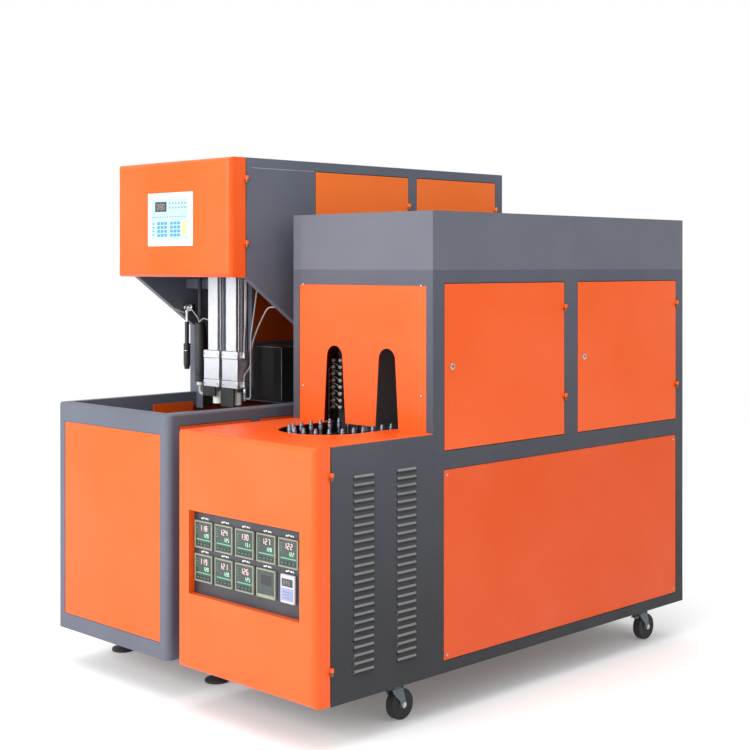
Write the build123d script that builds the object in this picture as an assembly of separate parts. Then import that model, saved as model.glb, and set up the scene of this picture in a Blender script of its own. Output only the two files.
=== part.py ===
from build123d import *
import math
import os

# Two-cabinet stretch blow moulding machine, in millimetres.
# X runs across both cabinets, Y from the operator's side to the back, Z up from the floor.
# The origin is under the middle of the whole machine, on the floor.

# Overall sizes
heater_length = 1980.0
heater_width = 675.0
blower_width = 678.0
unit_gap = 92.0
side_proud = 12.0
blower_front_setback = 32.0
blower_back_setback = 193.0
sheet = 2.0
plate = 3.0
panel_gap = 2.5
slide_clearance = 0.05
seat_clearance = 0.3

# Heater cabinet, stacked from the floor
heater_base = 139.0
base_rail = 38.0
lower_panel_height = 625.0
mid_rail = 59.0
oven_door_height = 548.0
top_rail = 43.0
hood_height = 193.0
frame_depth = 30.0
oven_setback = 517.0
oven_front_post = 54.0
oven_mid_post = 76.0
oven_rear_post = 47.0
oven_side_post = 31.0
front_header = 52.0
deck_height = 923.0
front_door_depth = 62.0
front_door_gap = 4.0
front_door_corner = 22.0
door_leaf_depth = 18.0
door_lip = 14.0
panel_recess = 3.0

# Instrument window in the front door
window_left_margin = 64.0
window_right_margin = 69.0
window_below_deck = 257.0
window_height = 274.0
window_depth = 20.0
instrument_columns = 5
instrument_rows = 2
instrument_pitch_x = 104.0
instrument_pitch_z = 109.0
instrument_shift_x = -9.0
instrument_shift_z = 4.5
instrument_size = 90.0
instrument_proud = 7.0
timer_width = 66.0
timer_height = 88.0

# Louvres
louvre_rows = 25
louvre_pitch = 24.8
louvre_length = 88.0
louvre_slot = 8.0
louvre_rise = 14.0
louvre_proud = 6.0
louvre_below_deck = 99.0
louvre_columns = (160.0, 350.0)

# Chain with its mandrels
chain_pitch = 44.0
sprocket_teeth = 18
straight_links = 32
front_sprocket_setback = 365.0
spindle_radius = 8.0
spindle_above_deck = 1.0
mandrel_taper = 14.0
mandrel_tip_radius = 2.5
spindle_below_deck = 37.0
link_thickness = 3.0
link_width = 18.0
link_corner = 6.0
link_layer_gap = 0.2
sprocket_thickness = 8.0
sprocket_hub_radius = 24.0
shaft_radius = 12.0
track_width = 32.0
track_thickness = 4.0
track_from_teeth = 3.0
tooth_above_pitch = 2.0
notch_radius = 9.0
deck_opening_radius = 162.0

# Slots in the oven front
slot_top_radius = 39.0
slot_side_height = 227.0
slot_foot_half_width = 54.0

# Lamp banks
lamp_rows = 8
lamp_pitch = 23.7
lamp_above_deck = 42.0
lamp_radius = 5.0
lamp_front_setback = 600.0
lamp_length = 970.0
lamp_offset = 72.0
holder_width = 44.0
holder_depth = 26.0
holder_height = 16.0
reflector_offset = 48.0
reflector_above_deck = 253.0

# Oven doors, hinges and locks
hinge_radius = 5.5
oven_hinge_drops = (93.0, 411.0)
access_hinge_inset = 116.0
front_hinge_drop = 92.0
front_hinge_rise = 107.0
head_hinge_drop = 77.0
head_hinge_rise = 119.0
hinge_pin_radius = 2.6
hinge_half_height = 12.0
hinge_stand_off = 0.5
lock_radius = 9.0
lock_proud = 4.0
lock_edge = 40.0
cam_length = 44.0
cam_width = 12.0
cam_thickness = 3.0

# Gear motor of the chain
gearbox_width = 110.0
gearbox_height = 90.0
motor_radius = 55.0
motor_length = 190.0

# Casters
caster_wheel_radius = 50.0
caster_wheel_width = 32.0
caster_trail = 28.0
caster_inset = 82.0
caster_front_setback = 418.0
caster_rear_setback = 1800.0
caster_plate_thickness = 6.0
caster_fork_sheet = 4.0
caster_side_gap = 2.0
caster_axle_radius = 6.0
caster_head_radius = 26.0
caster_crown_gap = 8.0
caster_leg_half = 12.0

# Blower cabinet, stacked from the floor
table_base = 130.0
table_height = 961.0
table_top_drop = 60.0
table_top_setback = 1040.0
table_posts = (416.0, 1110.0)
inner_guard_start = 436.0
inner_guard_end = 631.0
inner_guard_drop = 36.0
tube = 40.0
table_corner = 24.0
table_panel_left = 48.0
table_panel_right = 44.0
table_panel_bottom = 55.0
table_panel_top = 68.0
column_setback = 648.0
clamp_bed_drop = 386.0
clamp_bed_thickness = 15.0

# Control head and upper housing
head_front_setback = 297.0
head_door_depth = 79.0
head_door_gap = 4.0
head_height = 426.0
housing_height = 889.0
housing_side = 25.0
gusset_drop = 196.0
column_flange = 80.0
head_bulkhead_setback = 484.0
access_top_rail = 35.0
access_height = 682.0
access_front_setback = 708.0
access_length = 502.0
access_post = 45.0

# Membrane keypad on the head door
keypad_left_inset = 200.0
keypad_width = 272.0
keypad_above_head = 114.0
keypad_height = 196.0
keypad_thickness = 1.5

# Stretch and seal heads
cavity_pitch = 110.0
blow_axis_setback = 564.0
cylinder_side = 56.0
cylinder_above_table = 182.0
cylinder_length = 557.0
cylinder_groove = 8.0
cylinder_groove_depth = 6.0
cylinder_bore_radius = 20.0
cylinder_end_wall = 12.0
rod_above_nozzle = 6.0
stretch_rod_radius = 3.5
piston_thickness = 20.0
piston_below_top = 30.0
seal_block_width = 94.0
seal_block_depth = 70.0
seal_block_above_table = 42.0
seal_cap_height = 30.0
seal_waist = 1.5
seal_tube_radius = 5.5
seal_tube_rise = 87.0
nozzle_radius = 20.0
nozzle_below_table = 22.0
nozzle_height = 47.0
guard_width = 76.0
guard_left_edge = 52.0
guard_depth = 7.0
guard_heights = (35.0, 69.0)
beam_plate = 10.0
beam_tube = 40.0
beam_below_head = 9.0

# Blow valve, silencer and air lines
valve_height = 26.0
valve_depth = 20.0
valve_above_table = 326.0
valve_reach = 64.0
blow_pipe_radius = 21.0
blow_pipe_offset = 201.0
blow_pipe_behind = 26.0
blow_pipe_above_table = 51.0
blow_pipe_length = 230.0
blow_hose_radius = 8.0
blow_fitting_radius = 12.5
silencer_radius = 14.0
silencer_offset = 294.0
silencer_behind = 33.0
silencer_above_table = 94.0
silencer_length = 102.0
silencer_taper = 22.0
silencer_hose_radius = 8.5
silencer_stub_radius = 5.0
silencer_stub_length = 44.0
air_line_radius = 3.0
elbow_line_radius = 6.0
hose_drop_offset = 14.0
hose_bundle_behind = 20.0
hose_wall_ahead = 24.0
hose_wall_drop = 110.0
hose_port_drop = 1.6
hose_bends = (80.0, 14.0, 26.0, 16.0)
fitting_size = 16.0
fitting_height = 24.0
valve_box_width = 165.0
valve_box_depth = 130.0
valve_box_height = 213.0
valve_shelf_drop = 28.0
valve_shelf_margin = 20.0
valve_box_setback = 800.0
valve_box_left = 120.0

# Clamp
tie_bar_radius = 16.0
tie_bar_spread = 370.0
tie_bar_rises = (55.0, 270.0)
end_plate_thickness = 25.0
end_plate_width = 450.0
end_plate_height = 310.0
front_end_setback = 112.0
rear_end_setback = 1010.0
platen_thickness = 25.0
mould_width = 300.0
mould_rise = 65.0
mould_height = 265.0
mould_half_depth = 185.0
cavity_radius = 32.0
cavity_neck_radius = 12.0
cavity_height = 180.0
cavity_shoulder = 40.0
mould_foot = 25.0
clamp_cylinder_radius = 60.0
clamp_cylinder_length = 118.0
clamp_rod_radius = 15.0
clamp_rod_engagement = 14.0
clamp_stroke = 90.0

# Feet and ties
foot_radius = 42.0
foot_thickness = 26.0
foot_stud_radius = 8.0
foot_nut_radius = 13.0
foot_nut_height = 10.0
foot_inset = 55.0
foot_front_setback = 285.0
foot_rear_setback = 1660.0
tie_width = 32.0
tie_thickness = 8.0

# Places worked out from the sizes above
overall_width = blower_width + unit_gap + heater_width + 2 * side_proud
heater_right = overall_width / 2 - side_proud
heater_left = heater_right - heater_width
blower_right = heater_left - unit_gap
blower_left = blower_right - blower_width
front = -heater_length / 2
back = heater_length / 2
blower_front = front + blower_front_setback
blower_back = back - blower_back_setback
oven_front = front + oven_setback
lower_panel_z = heater_base + base_rail
oven_door_z = lower_panel_z + lower_panel_height + mid_rail
oven_door_top = oven_door_z + oven_door_height
hood_seam = oven_door_top + top_rail
oven_top = hood_seam + hood_height
shelf_z = lower_panel_z + lower_panel_height
door_opening = (heater_length - oven_setback - oven_front_post - oven_mid_post - oven_rear_post) / 2
front_opening_y = oven_front + oven_front_post
rear_opening_y = front_opening_y + door_opening + oven_mid_post
shelf_top = shelf_z + plate
window_top = deck_height - window_below_deck
window_bottom = window_top - window_height
louvre_top = deck_height - louvre_below_deck
spindle_top = deck_height + spindle_above_deck
mandrel_tip = spindle_top + mandrel_taper
spindle_bottom = deck_height - spindle_below_deck
slot_spring_height = deck_height + slot_side_height
lamp_bottom = deck_height + lamp_above_deck
reflector_top = deck_height + reflector_above_deck
blower_height = table_height + housing_height
head_bottom = blower_height - head_height
gusset_foot_height = head_bottom - gusset_drop
access_top = blower_height - access_top_rail
access_bottom = access_top - access_height
keypad_bottom = head_bottom + keypad_above_head
table_top = table_height - table_top_drop
valve_shelf = table_height - valve_shelf_drop
clamp_bed_height = table_height - clamp_bed_drop
cylinder_bottom = table_height + cylinder_above_table
cylinder_top = cylinder_bottom + cylinder_length
piston_top = cylinder_top - piston_below_top
seal_block_bottom = table_height + seal_block_above_table
seal_tube_top = seal_block_bottom + seal_tube_rise
nozzle_bottom = table_height - nozzle_below_table
nozzle_top = nozzle_bottom + nozzle_height
beam_height = head_bottom - beam_below_head - beam_tube
tie_bar_low = clamp_bed_height + tie_bar_rises[0]
tie_bar_high = clamp_bed_height + tie_bar_rises[1]
mould_bottom = clamp_bed_height + mould_rise
mould_top = mould_bottom + mould_height
chain_x = (heater_left + heater_right) / 2
chain_radius = chain_pitch / 2 / math.sin(math.pi / sprocket_teeth)
front_sprocket_y = front + front_sprocket_setback
rear_sprocket_y = front_sprocket_y + straight_links * chain_pitch
link_levels = (
    spindle_bottom - link_thickness,
    spindle_bottom - 2 * link_thickness - link_layer_gap,
)
sprocket_top = link_levels[1] - seat_clearance
blower_x = (blower_left + blower_right) / 2
blow_y = front + blow_axis_setback
column_y = front + column_setback
head_door_back = front + head_front_setback + head_door_depth - head_door_gap
head_y = front + head_front_setback + head_door_depth
bulkhead_y = front + head_bulkhead_setback
cavity_xs = (blower_x - cavity_pitch / 2, blower_x + cavity_pitch / 2)
hinge_reach = hinge_stand_off + hinge_radius
clamp_axis_z = (tie_bar_low + tie_bar_high) / 2
block_front_y = blow_y - seal_block_depth / 2
block_back_y = blow_y + seal_block_depth / 2

nodes = {}


def block(x0, x1, y0, y1, z0, z1):
    """A box between two corners."""
    middle = Pos((x0 + x1) / 2, (y0 + y1) / 2, (z0 + z1) / 2)
    return middle * Box(x1 - x0, y1 - y0, z1 - z0)


def post(x, y, z0, z1, radius):
    """An upright round bar."""
    return Pos(x, y, (z0 + z1) / 2) * Cylinder(radius, z1 - z0)


def bar_x(x0, x1, y, z, radius):
    """A round bar along X."""
    return Pos((x0 + x1) / 2, y, z) * Rot(0, 90, 0) * Cylinder(radius, x1 - x0)


def bar_y(x, y0, y1, z, radius):
    """A round bar along Y."""
    return Pos(x, (y0 + y1) / 2, z) * Rot(90, 0, 0) * Cylinder(radius, y1 - y0)


def prism(x, y, z0, z1, inner_radius, sides, turn=0.0):
    """An upright bar with flat sides, as far from its axis as inner_radius."""
    corner = inner_radius / math.cos(math.pi / sides)
    outline = Pos(x, y, z0) * Rot(0, 0, turn) * RegularPolygon(corner, sides)
    return extrude(outline, z1 - z0, dir=(0, 0, 1))


def joined(shapes):
    """Welds a list of shapes into one part."""
    return Part() + list(shapes)


def group(shapes):
    """Keeps like pieces as separate solids of one node."""
    solids = []
    for shape in shapes:
        solids.extend(shape.solids())
    return Compound(children=solids)


def side_plate(outer_x, inward, y0, y1, z0, z1, depth):
    """A plate standing in a side wall, from its outer face inwards."""
    inner_x = outer_x + inward * depth
    return block(min(outer_x, inner_x), max(outer_x, inner_x), y0, y1, z0, z1)


def panel_pocket(outer_x, inward, y0, y1, z0, z1, depth, wall):
    """The rebate for a panel and the hole behind it, to cut from a side wall."""
    rebate = side_plate(outer_x, inward, y0, y1, z0, z1, depth)
    hole = side_plate(
        outer_x, inward, y0 + door_lip, y1 - door_lip, z0 + door_lip, z1 - door_lip, wall
    )
    return rebate + hole


def side_panel(outer_x, inward, y0, y1, z0, z1):
    """A flat cover seated on the floor of its rebate."""
    seat_x = outer_x + inward * panel_recess
    return side_plate(
        seat_x, -inward, y0 + panel_gap, y1 - panel_gap, z0 + panel_gap, z1 - panel_gap, sheet
    )


def hinge_lower(x, y, z, inward=-1):
    """The fixed half of a weld-on hinge, with its pin standing up."""
    knuckle = prism(x, y, z - hinge_half_height, z, hinge_radius, 8)
    pin_inner = hinge_pin_radius * math.cos(math.pi / 8)
    pin = prism(x, y, z, z + hinge_half_height - 1, pin_inner, 8)
    lug = side_plate(x, inward, y, y + hinge_radius, z - hinge_half_height, z, hinge_reach)
    return knuckle + pin + lug


def hinge_upper(x, y, z, inward=-1):
    """The moving half of a weld-on hinge, which turns on the pin."""
    knuckle = prism(x, y, z, z + hinge_half_height, hinge_radius, 8)
    lug = side_plate(x, inward, y - hinge_radius, y, z, z + hinge_half_height, hinge_reach)
    bore = prism(x, y, z, z + hinge_half_height, hinge_pin_radius + slide_clearance, 8)
    return knuckle + lug - bore


def side_leaf(outer_x, inward, y0, y1, z0, z1):
    """A folded door leaf: a skin with its edges turned inwards."""
    skin = side_plate(
        outer_x, inward, y0 + panel_gap, y1 - panel_gap, z0 + panel_gap, z1 - panel_gap,
        door_leaf_depth,
    )
    edge = panel_gap + sheet
    hollow = side_plate(
        outer_x + inward * sheet, inward, y0 + edge, y1 - edge, z0 + edge, z1 - edge,
        door_leaf_depth,
    )
    return skin - hollow


def heater_frame():
    """Welded tube frame of the heater cabinet, with its rebates, shelf and back."""
    pieces = []
    cuts = []
    for outer_x, inward in ((heater_right, -1), (heater_left, 1)):
        pieces.append(
            side_plate(outer_x, inward, oven_front, back, heater_base, hood_seam, frame_depth)
        )
        pieces.append(
            side_plate(
                outer_x + inward * sheet, inward, front + front_door_depth + front_door_gap,
                oven_front, heater_base, deck_height - plate, frame_depth - sheet,
            )
        )
        cuts.append(
            panel_pocket(
                outer_x, inward, front_opening_y - panel_gap, back - oven_rear_post,
                lower_panel_z, shelf_z, panel_recess, frame_depth,
            )
        )
        cuts.append(
            side_plate(
                outer_x, inward, front + front_door_depth + tube, oven_front - frame_depth,
                heater_base + tube, deck_height - tube - plate, frame_depth,
            )
        )
        leaf_seat = door_leaf_depth + seat_clearance
        for y0 in (front_opening_y, rear_opening_y):
            cuts.append(
                panel_pocket(
                    outer_x, inward, y0, y0 + door_opening, oven_door_z, oven_door_top,
                    leaf_seat if inward < 0 else panel_recess, frame_depth,
                )
            )
    inner_left = heater_left + frame_depth
    inner_right = heater_right - frame_depth
    door_seat_y = front + front_door_depth + front_door_gap
    for y0, z0, z1 in (
        (door_seat_y, heater_base, heater_base + base_rail),
        (door_seat_y, deck_height - plate - tube, deck_height - plate),
        (oven_front, heater_base, heater_base + base_rail),
        (oven_front, hood_seam - front_header, hood_seam),
        (back - frame_depth, heater_base, heater_base + base_rail),
        (back - frame_depth, shelf_z, oven_door_z),
        (back - frame_depth, oven_door_top, hood_seam),
    ):
        pieces.append(block(inner_left, inner_right, y0, y0 + frame_depth, z0, z1))
    shelf_front = door_seat_y + frame_depth
    pieces.append(
        block(inner_left, inner_right, shelf_front, back - frame_depth, shelf_z, shelf_top)
    )
    pieces.append(
        block(inner_left, inner_right, back - plate, back, heater_base + base_rail, shelf_z)
    )
    pieces.append(block(inner_left, inner_right, back - plate, back, oven_door_z, oven_door_top))
    for x in (heater_left + caster_inset, heater_right - caster_inset):
        for setback in (caster_front_setback, caster_rear_setback):
            y = front + setback
            pieces.append(
                block(
                    x - caster_inset + frame_depth, x + caster_inset - frame_depth, y - tube, y + tube,
                    heater_base, heater_base + caster_plate_thickness,
                )
            )
    shaft_hole = post(chain_x, front_sprocket_y, shelf_z, shelf_top, shaft_radius + 1)
    return joined(pieces) - cuts - shaft_hole


def hood():
    """Folded cover over the oven, open below."""
    outer = block(heater_left, heater_right, oven_front, back, hood_seam, oven_top)
    hollow = block(
        heater_left + sheet, heater_right - sheet, oven_front + sheet, back - sheet,
        hood_seam, oven_top - sheet,
    )
    return outer - hollow


def slot_cut(x, y):
    """A tapered slot with a round top, to cut from the oven front."""
    floor_z = deck_height - plate
    side_z = slot_spring_height
    with BuildSketch(Plane.XZ.offset(-y - plate)) as outline:
        with BuildLine():
            Polyline(
                (x + slot_top_radius, side_z), (x + slot_foot_half_width, floor_z),
                (x - slot_foot_half_width, floor_z), (x - slot_top_radius, side_z),
            )
            RadiusArc((x - slot_top_radius, side_z), (x + slot_top_radius, side_z), slot_top_radius)
        make_face()
    return extrude(outline.sketch, plate * 2, both=True)


def oven_front_panel():
    """Sheet across the front of the oven with a slot for each strand of the chain."""
    y0 = oven_front + sheet
    panel = block(
        heater_left + oven_side_post, heater_right - oven_side_post, y0, y0 + sheet,
        deck_height, hood_seam - front_header,
    )
    for side in (-1, 1):
        panel = panel - slot_cut(chain_x + side * chain_radius, y0)
    return panel


def oven_front_frame():
    """Strips beside the oven front panel that it is screwed to."""
    y0 = oven_front + 2 * sheet
    y1 = y0 + frame_depth / 2
    inner_left = heater_left + frame_depth
    inner_right = heater_right - frame_depth
    header_z = hood_seam - front_header
    width = frame_depth
    return joined(
        [
            block(inner_left, inner_left + width, y0, y1, deck_height, header_z),
            block(inner_right - width, inner_right, y0, y1, deck_height, header_z),
        ]
    )


def deck_opening():
    """U-shaped hole of the deck, round in front and straight towards the oven."""
    z0 = deck_height - 2 * plate
    z1 = deck_height + plate
    nose = post(chain_x, front_sprocket_y, z0, z1, deck_opening_radius)
    tail = block(
        chain_x - deck_opening_radius, chain_x + deck_opening_radius, front_sprocket_y,
        oven_front + tube, z0, z1,
    )
    return nose + tail


def deck_plate():
    """Deck in front of the oven, with a tongue that runs in under the oven front."""
    deck = block(
        heater_left, heater_right, front + front_door_depth + front_door_gap, oven_front,
        deck_height - plate, deck_height,
    )
    tongue = block(
        heater_left + frame_depth, heater_right - frame_depth, oven_front,
        oven_front + frame_depth, deck_height - plate, deck_height,
    )
    return deck + tongue - deck_opening()


def fixed_side_panels():
    """Screwed-on covers: one below on each side, and two beside the oven on the left."""
    covers = []
    lower_end = back - oven_rear_post
    for outer_x, inward in ((heater_right, -1), (heater_left, 1)):
        covers.append(
            side_panel(outer_x, inward, front_opening_y - panel_gap, lower_end, lower_panel_z, shelf_z)
        )
    for y0 in (front_opening_y, rear_opening_y):
        covers.append(side_panel(heater_left, 1, y0, y0 + door_opening, oven_door_z, oven_door_top))
    return covers


def louvre_panel(outer_x, inward, with_louvres):
    """Side cover of the front section, with two columns of pressed louvres."""
    y0 = front + front_door_depth + front_door_gap
    panel = side_plate(
        outer_x, inward, y0, oven_front - seat_clearance, heater_base, deck_height - plate, sheet
    )
    if not with_louvres:
        return panel
    for setback in louvre_columns:
        for row in range(louvre_rows):
            top = louvre_top - row * louvre_pitch
            y_start = front + setback
            panel = panel - side_plate(
                outer_x, inward, y_start, y_start + louvre_length, top - louvre_rise,
                top - louvre_rise + louvre_slot, sheet,
            )
    hoods = []
    for setback in louvre_columns:
        for row in range(louvre_rows):
            top = louvre_top - row * louvre_pitch
            profile = Polyline(
                (outer_x, front + setback, top),
                (outer_x - inward * louvre_proud, front + setback, top - louvre_rise),
                (outer_x - inward * (louvre_proud - 1), front + setback, top - louvre_rise),
                (outer_x, front + setback, top - sheet),
                close=True,
            )
            hoods.append(extrude(make_face(profile), louvre_length, dir=(0, 1, 0)))
    return joined([panel, *hoods])


def front_door():
    """Deep front door with rounded edges and a recessed window for the instruments."""
    door = block(
        heater_left, heater_right, front, front + front_door_depth, heater_base + panel_gap,
        deck_height - seat_clearance,
    )
    upright = door.edges().filter_by(Axis.Z).group_by(Axis.Y)[0]
    level = door.edges().filter_by(Axis.X).group_by(Axis.Y)[0]
    door = fillet([*upright, *level], front_door_corner)
    hollow = block(
        heater_left + sheet, heater_right - sheet, front + front_door_corner,
        front + front_door_depth, heater_base + panel_gap + sheet, deck_height - plate,
    )
    left = heater_left + window_left_margin
    right = heater_right - window_right_margin
    window = block(
        left, right, front, front + front_door_corner + sheet, window_bottom, window_top
    )
    rim_outer = block(
        left - sheet, right + sheet, front + front_door_corner, front + window_depth + 2 * sheet,
        window_bottom - sheet, window_top + sheet,
    )
    door = door - hollow + rim_outer - window
    uppers = [hinge_upper(*place) for place in front_door_hinges]
    return joined([door, *uppers])


def instrument_plate():
    """Dark plate behind the window of the front door."""
    left = heater_left + window_left_margin
    right = heater_right - window_right_margin
    y0 = front + front_door_corner + sheet
    return block(left - sheet, right + sheet, y0, y0 + sheet, window_bottom - sheet, window_top + sheet)


def instrument_centres():
    """Centres of the instruments, from the left of the upper row."""
    middle_x = (heater_left + window_left_margin + heater_right - window_right_margin) / 2
    middle_x += instrument_shift_x
    middle_z = (window_top + window_bottom) / 2 + instrument_shift_z
    places = []
    for row in range(instrument_rows):
        for column in range(instrument_columns):
            x = middle_x + (column - (instrument_columns - 1) / 2) * instrument_pitch_x
            z = middle_z + ((instrument_rows - 1) / 2 - row) * instrument_pitch_z
            places.append((x, z))
    return places


def temperature_controllers():
    """Square panel instruments, each a bezel in front of the plate."""
    y1 = front + front_door_corner + sheet
    half = instrument_size / 2
    units = []
    for x, z in instrument_centres()[:-1]:
        bezel = block(x - half, x + half, y1 - instrument_proud, y1, z - half, z + half)
        face = half - 6
        bezel = bezel - block(
            x - face, x + face, y1 - instrument_proud, y1 - instrument_proud + 2, z - face, z + face
        )
        units.append(bezel)
    return group(units)


def timer_module():
    """Upright timer at the end of the lower row."""
    x, z = instrument_centres()[-1]
    y1 = front + front_door_corner + sheet
    body = block(
        x - timer_width / 2, x + timer_width / 2, y1 - 1.6 * instrument_proud, y1,
        z - timer_height / 2, z + timer_height / 2,
    )
    return chamfer(body.edges().group_by(Axis.Y)[0], 3)


def oven_door(y0):
    """Oven door leaf with the upper halves of its hinges and the hole for its lock."""
    leaf = side_leaf(heater_right, -1, y0, y0 + door_opening, oven_door_z, oven_door_top)
    uppers = [hinge_upper(heater_right + hinge_reach, y, z) for y, z in oven_hinges(y0)]
    lock_y, lock_z = lock_place(y0)
    hole = bar_x(heater_right - 2 * sheet, heater_right + 1, lock_y, lock_z, lock_radius)
    return joined([leaf, *uppers]) - hole


def oven_hinges(y0):
    """Places of the two hinges on the rear edge of an oven door."""
    y = y0 + door_opening
    return [(y, oven_door_top - drop) for drop in oven_hinge_drops]


def lock_place(y0):
    """Centre of the cam lock near the front edge of an oven door."""
    return y0 + lock_edge, oven_door_z + oven_door_height / 2


def door_lock(y0):
    """Cam lock: a barrel with a wide head and a cam that turns behind the frame."""
    y, z = lock_place(y0)
    barrel_radius = lock_radius - slide_clearance
    head = bar_x(heater_right, heater_right + lock_proud, y, z, lock_radius + 2)
    barrel = bar_x(heater_right - frame_depth - 1, heater_right, y, z, barrel_radius)
    cam_x = heater_right - frame_depth - 1
    cam = block(
        cam_x - cam_thickness, cam_x, y - cam_width / 2, y + cam_width / 2, z - cam_length,
        z + cam_width / 2,
    )
    key_slot = block(
        heater_right + lock_proud - 2, heater_right + lock_proud, y - 1, y + 1, z - 5, z + 5
    )
    return head + barrel + cam - key_slot


def chain_points():
    """Places of the mandrels round the loop, each with the chain's direction in degrees."""
    step = 360 / sprocket_teeth
    half_turn = sprocket_teeth // 2
    places = []
    for index in range(half_turn + 1):
        angle = 180 + index * step
        places.append((front_sprocket_y, angle))
    for index in range(half_turn + 1):
        angle = index * step
        places.append((rear_sprocket_y, angle))
    points = []
    for centre_y, angle in places:
        turn = math.radians(angle)
        x = chain_x + chain_radius * math.cos(turn)
        y = centre_y + chain_radius * math.sin(turn)
        points.append((x, y, angle + 90))
    front_arc = points[: half_turn + 1]
    rear_arc = points[half_turn + 1 :]
    right_side = []
    left_side = []
    for index in range(1, straight_links):
        y = front_sprocket_y + index * chain_pitch
        right_side.append((chain_x + chain_radius, y, 90))
        left_side.append((chain_x - chain_radius, y, 90))
    return front_arc + right_side + rear_arc + left_side[::-1]


def mandrels():
    """Spindles that carry the preforms, one standing on each joint of the chain."""
    units = []
    for x, y, angle in chain_points():
        body = prism(x, y, spindle_bottom, spindle_top, spindle_radius, 6, angle + 30)
        corner = spindle_radius / math.cos(math.pi / 6)
        base = Pos(x, y, spindle_top) * Rot(0, 0, angle + 30) * RegularPolygon(corner, 6)
        tip = Pos(x, y, mandrel_tip) * Rot(0, 0, angle + 30) * RegularPolygon(mandrel_tip_radius, 6)
        units.append(body + loft([base, tip], ruled=True))
    return group(units)


def link_outline():
    """Link plate seen from above: long, with cut corners, reaching round both its joints."""
    half_length = chain_pitch / 2 + link_width / 2
    half_width = link_width / 2
    corners = []
    for sign_x, sign_y in ((1, -1), (1, 1), (-1, 1), (-1, -1)):
        end = (sign_x * half_length, sign_y * (half_width - link_corner))
        side = (sign_x * (half_length - link_corner), sign_y * half_width)
        corners.extend((side, end) if sign_x * sign_y < 0 else (end, side))
    return make_face(Polyline(*corners, close=True))


def chain_links():
    """Link plates under the spindles, lapped over each other at every joint."""
    points = chain_points()
    outline = link_outline()
    units = []
    for index, (x0, y0, _) in enumerate(points):
        x1, y1, _ = points[(index + 1) % len(points)]
        heading = math.degrees(math.atan2(y1 - y0, x1 - x0))
        place = Pos((x0 + x1) / 2, (y0 + y1) / 2, link_levels[index % 2])
        units.append(place * Rot(0, 0, heading) * extrude(outline, link_thickness, dir=(0, 0, 1)))
    return group(units)


def sprocket(centre_y):
    """Toothed wheel just under the chain, with its hub."""
    tooth = 360 / sprocket_teeth
    root = chain_radius - notch_radius
    tip = chain_radius + tooth_above_pitch
    outline = []
    for index in range(sprocket_teeth):
        middle = index * tooth
        for offset, radius in ((0.22, root), (0.34, tip), (0.66, tip), (0.78, root)):
            angle = math.radians(middle + offset * tooth)
            outline.append((radius * math.cos(angle), radius * math.sin(angle)))
    z0 = sprocket_top - sprocket_thickness
    toothed = extrude(make_face(Polyline(*outline, close=True)), sprocket_thickness)
    disc = Pos(chain_x, centre_y, z0) * toothed
    hub = post(chain_x, centre_y, shelf_top + seat_clearance, z0, sprocket_hub_radius)
    bore = post(chain_x, centre_y, shelf_z, z0 + sprocket_thickness, shaft_radius)
    return disc + hub - bore


def stadium(radius, z0, z1):
    """A plate as long as the loop, with round ends."""
    ends = post(chain_x, front_sprocket_y, z0, z1, radius) + post(chain_x, rear_sprocket_y, z0, z1, radius)
    return ends + block(chain_x - radius, chain_x + radius, front_sprocket_y, rear_sprocket_y, z0, z1)


def chain_track():
    """Loop of flat rail under the chain's outer edge, on blocks, with the idle sprocket's axle."""
    z1 = link_levels[1]
    z0 = z1 - track_thickness
    inner = chain_radius + tooth_above_pitch + track_from_teeth
    outer = inner + track_width
    pieces = [stadium(outer, z0, z1) - stadium(inner, z0, z1)]
    for y in (front_sprocket_y, (front_sprocket_y + rear_sprocket_y) / 2, rear_sprocket_y):
        for side in (-1, 1):
            x0 = chain_x + side * inner
            x1 = chain_x + side * outer
            pieces.append(block(min(x0, x1), max(x0, x1), y - tube / 2, y + tube / 2, shelf_top, z0))
    return joined(pieces)


def idle_axle():
    """Standing axle of the idle sprocket."""
    return post(
        chain_x, rear_sprocket_y, shelf_top, sprocket_top, shaft_radius - slide_clearance
    )


def gear_motor():
    """Gearbox hung under the shelf, with its motor below and its shaft up to the sprocket."""
    half = gearbox_width / 2
    top = shelf_z
    box = block(
        chain_x - half, chain_x + half, front_sprocket_y - half, front_sprocket_y + half,
        top - gearbox_height, top,
    )
    motor_top = top - gearbox_height
    motor = post(chain_x, front_sprocket_y, motor_top - motor_length, motor_top, motor_radius)
    shaft = post(chain_x, front_sprocket_y, top, sprocket_top, shaft_radius - slide_clearance)
    return box + motor + shaft


def lamp_xs():
    """Lines of the lamps, one bank on the outer side of each strand."""
    return [chain_x + side * (chain_radius + lamp_offset) for side in (-1, 1)]


def lamp_heights():
    """Heights of the lamps of a bank."""
    return [lamp_bottom + row * lamp_pitch for row in range(lamp_rows)]


def lamp_tubes():
    """Infrared tubes lying along the oven."""
    y0 = front + lamp_front_setback + holder_depth
    units = []
    for x in lamp_xs():
        for z in lamp_heights():
            tube_shape = Pos(x, y0, z) * Rot(-90, 0, 0) * RegularPolygon(lamp_radius, 6)
            units.append(extrude(tube_shape, lamp_length, dir=(0, 1, 0)))
    return group(units)


def lamp_holders():
    """Ceramic end blocks of the lamps on an upright strip at each end."""
    units = []
    for side, x in zip((-1, 1), lamp_xs()):
        for y0 in (
            front + lamp_front_setback,
            front + lamp_front_setback + holder_depth + lamp_length,
        ):
            blocks = []
            for z in lamp_heights():
                blocks.append(
                    block(
                        x - holder_width / 2, x + holder_width / 2, y0, y0 + holder_depth,
                        z - holder_height / 2, z + holder_height / 2,
                    )
                )
            strip = side_plate(
                x + side * holder_width / 2, side, y0, y0 + holder_depth, shelf_top,
                lamp_heights()[-1] + holder_height, sheet,
            )
            units.append(joined([strip, *blocks]))
    return group(units)


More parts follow.
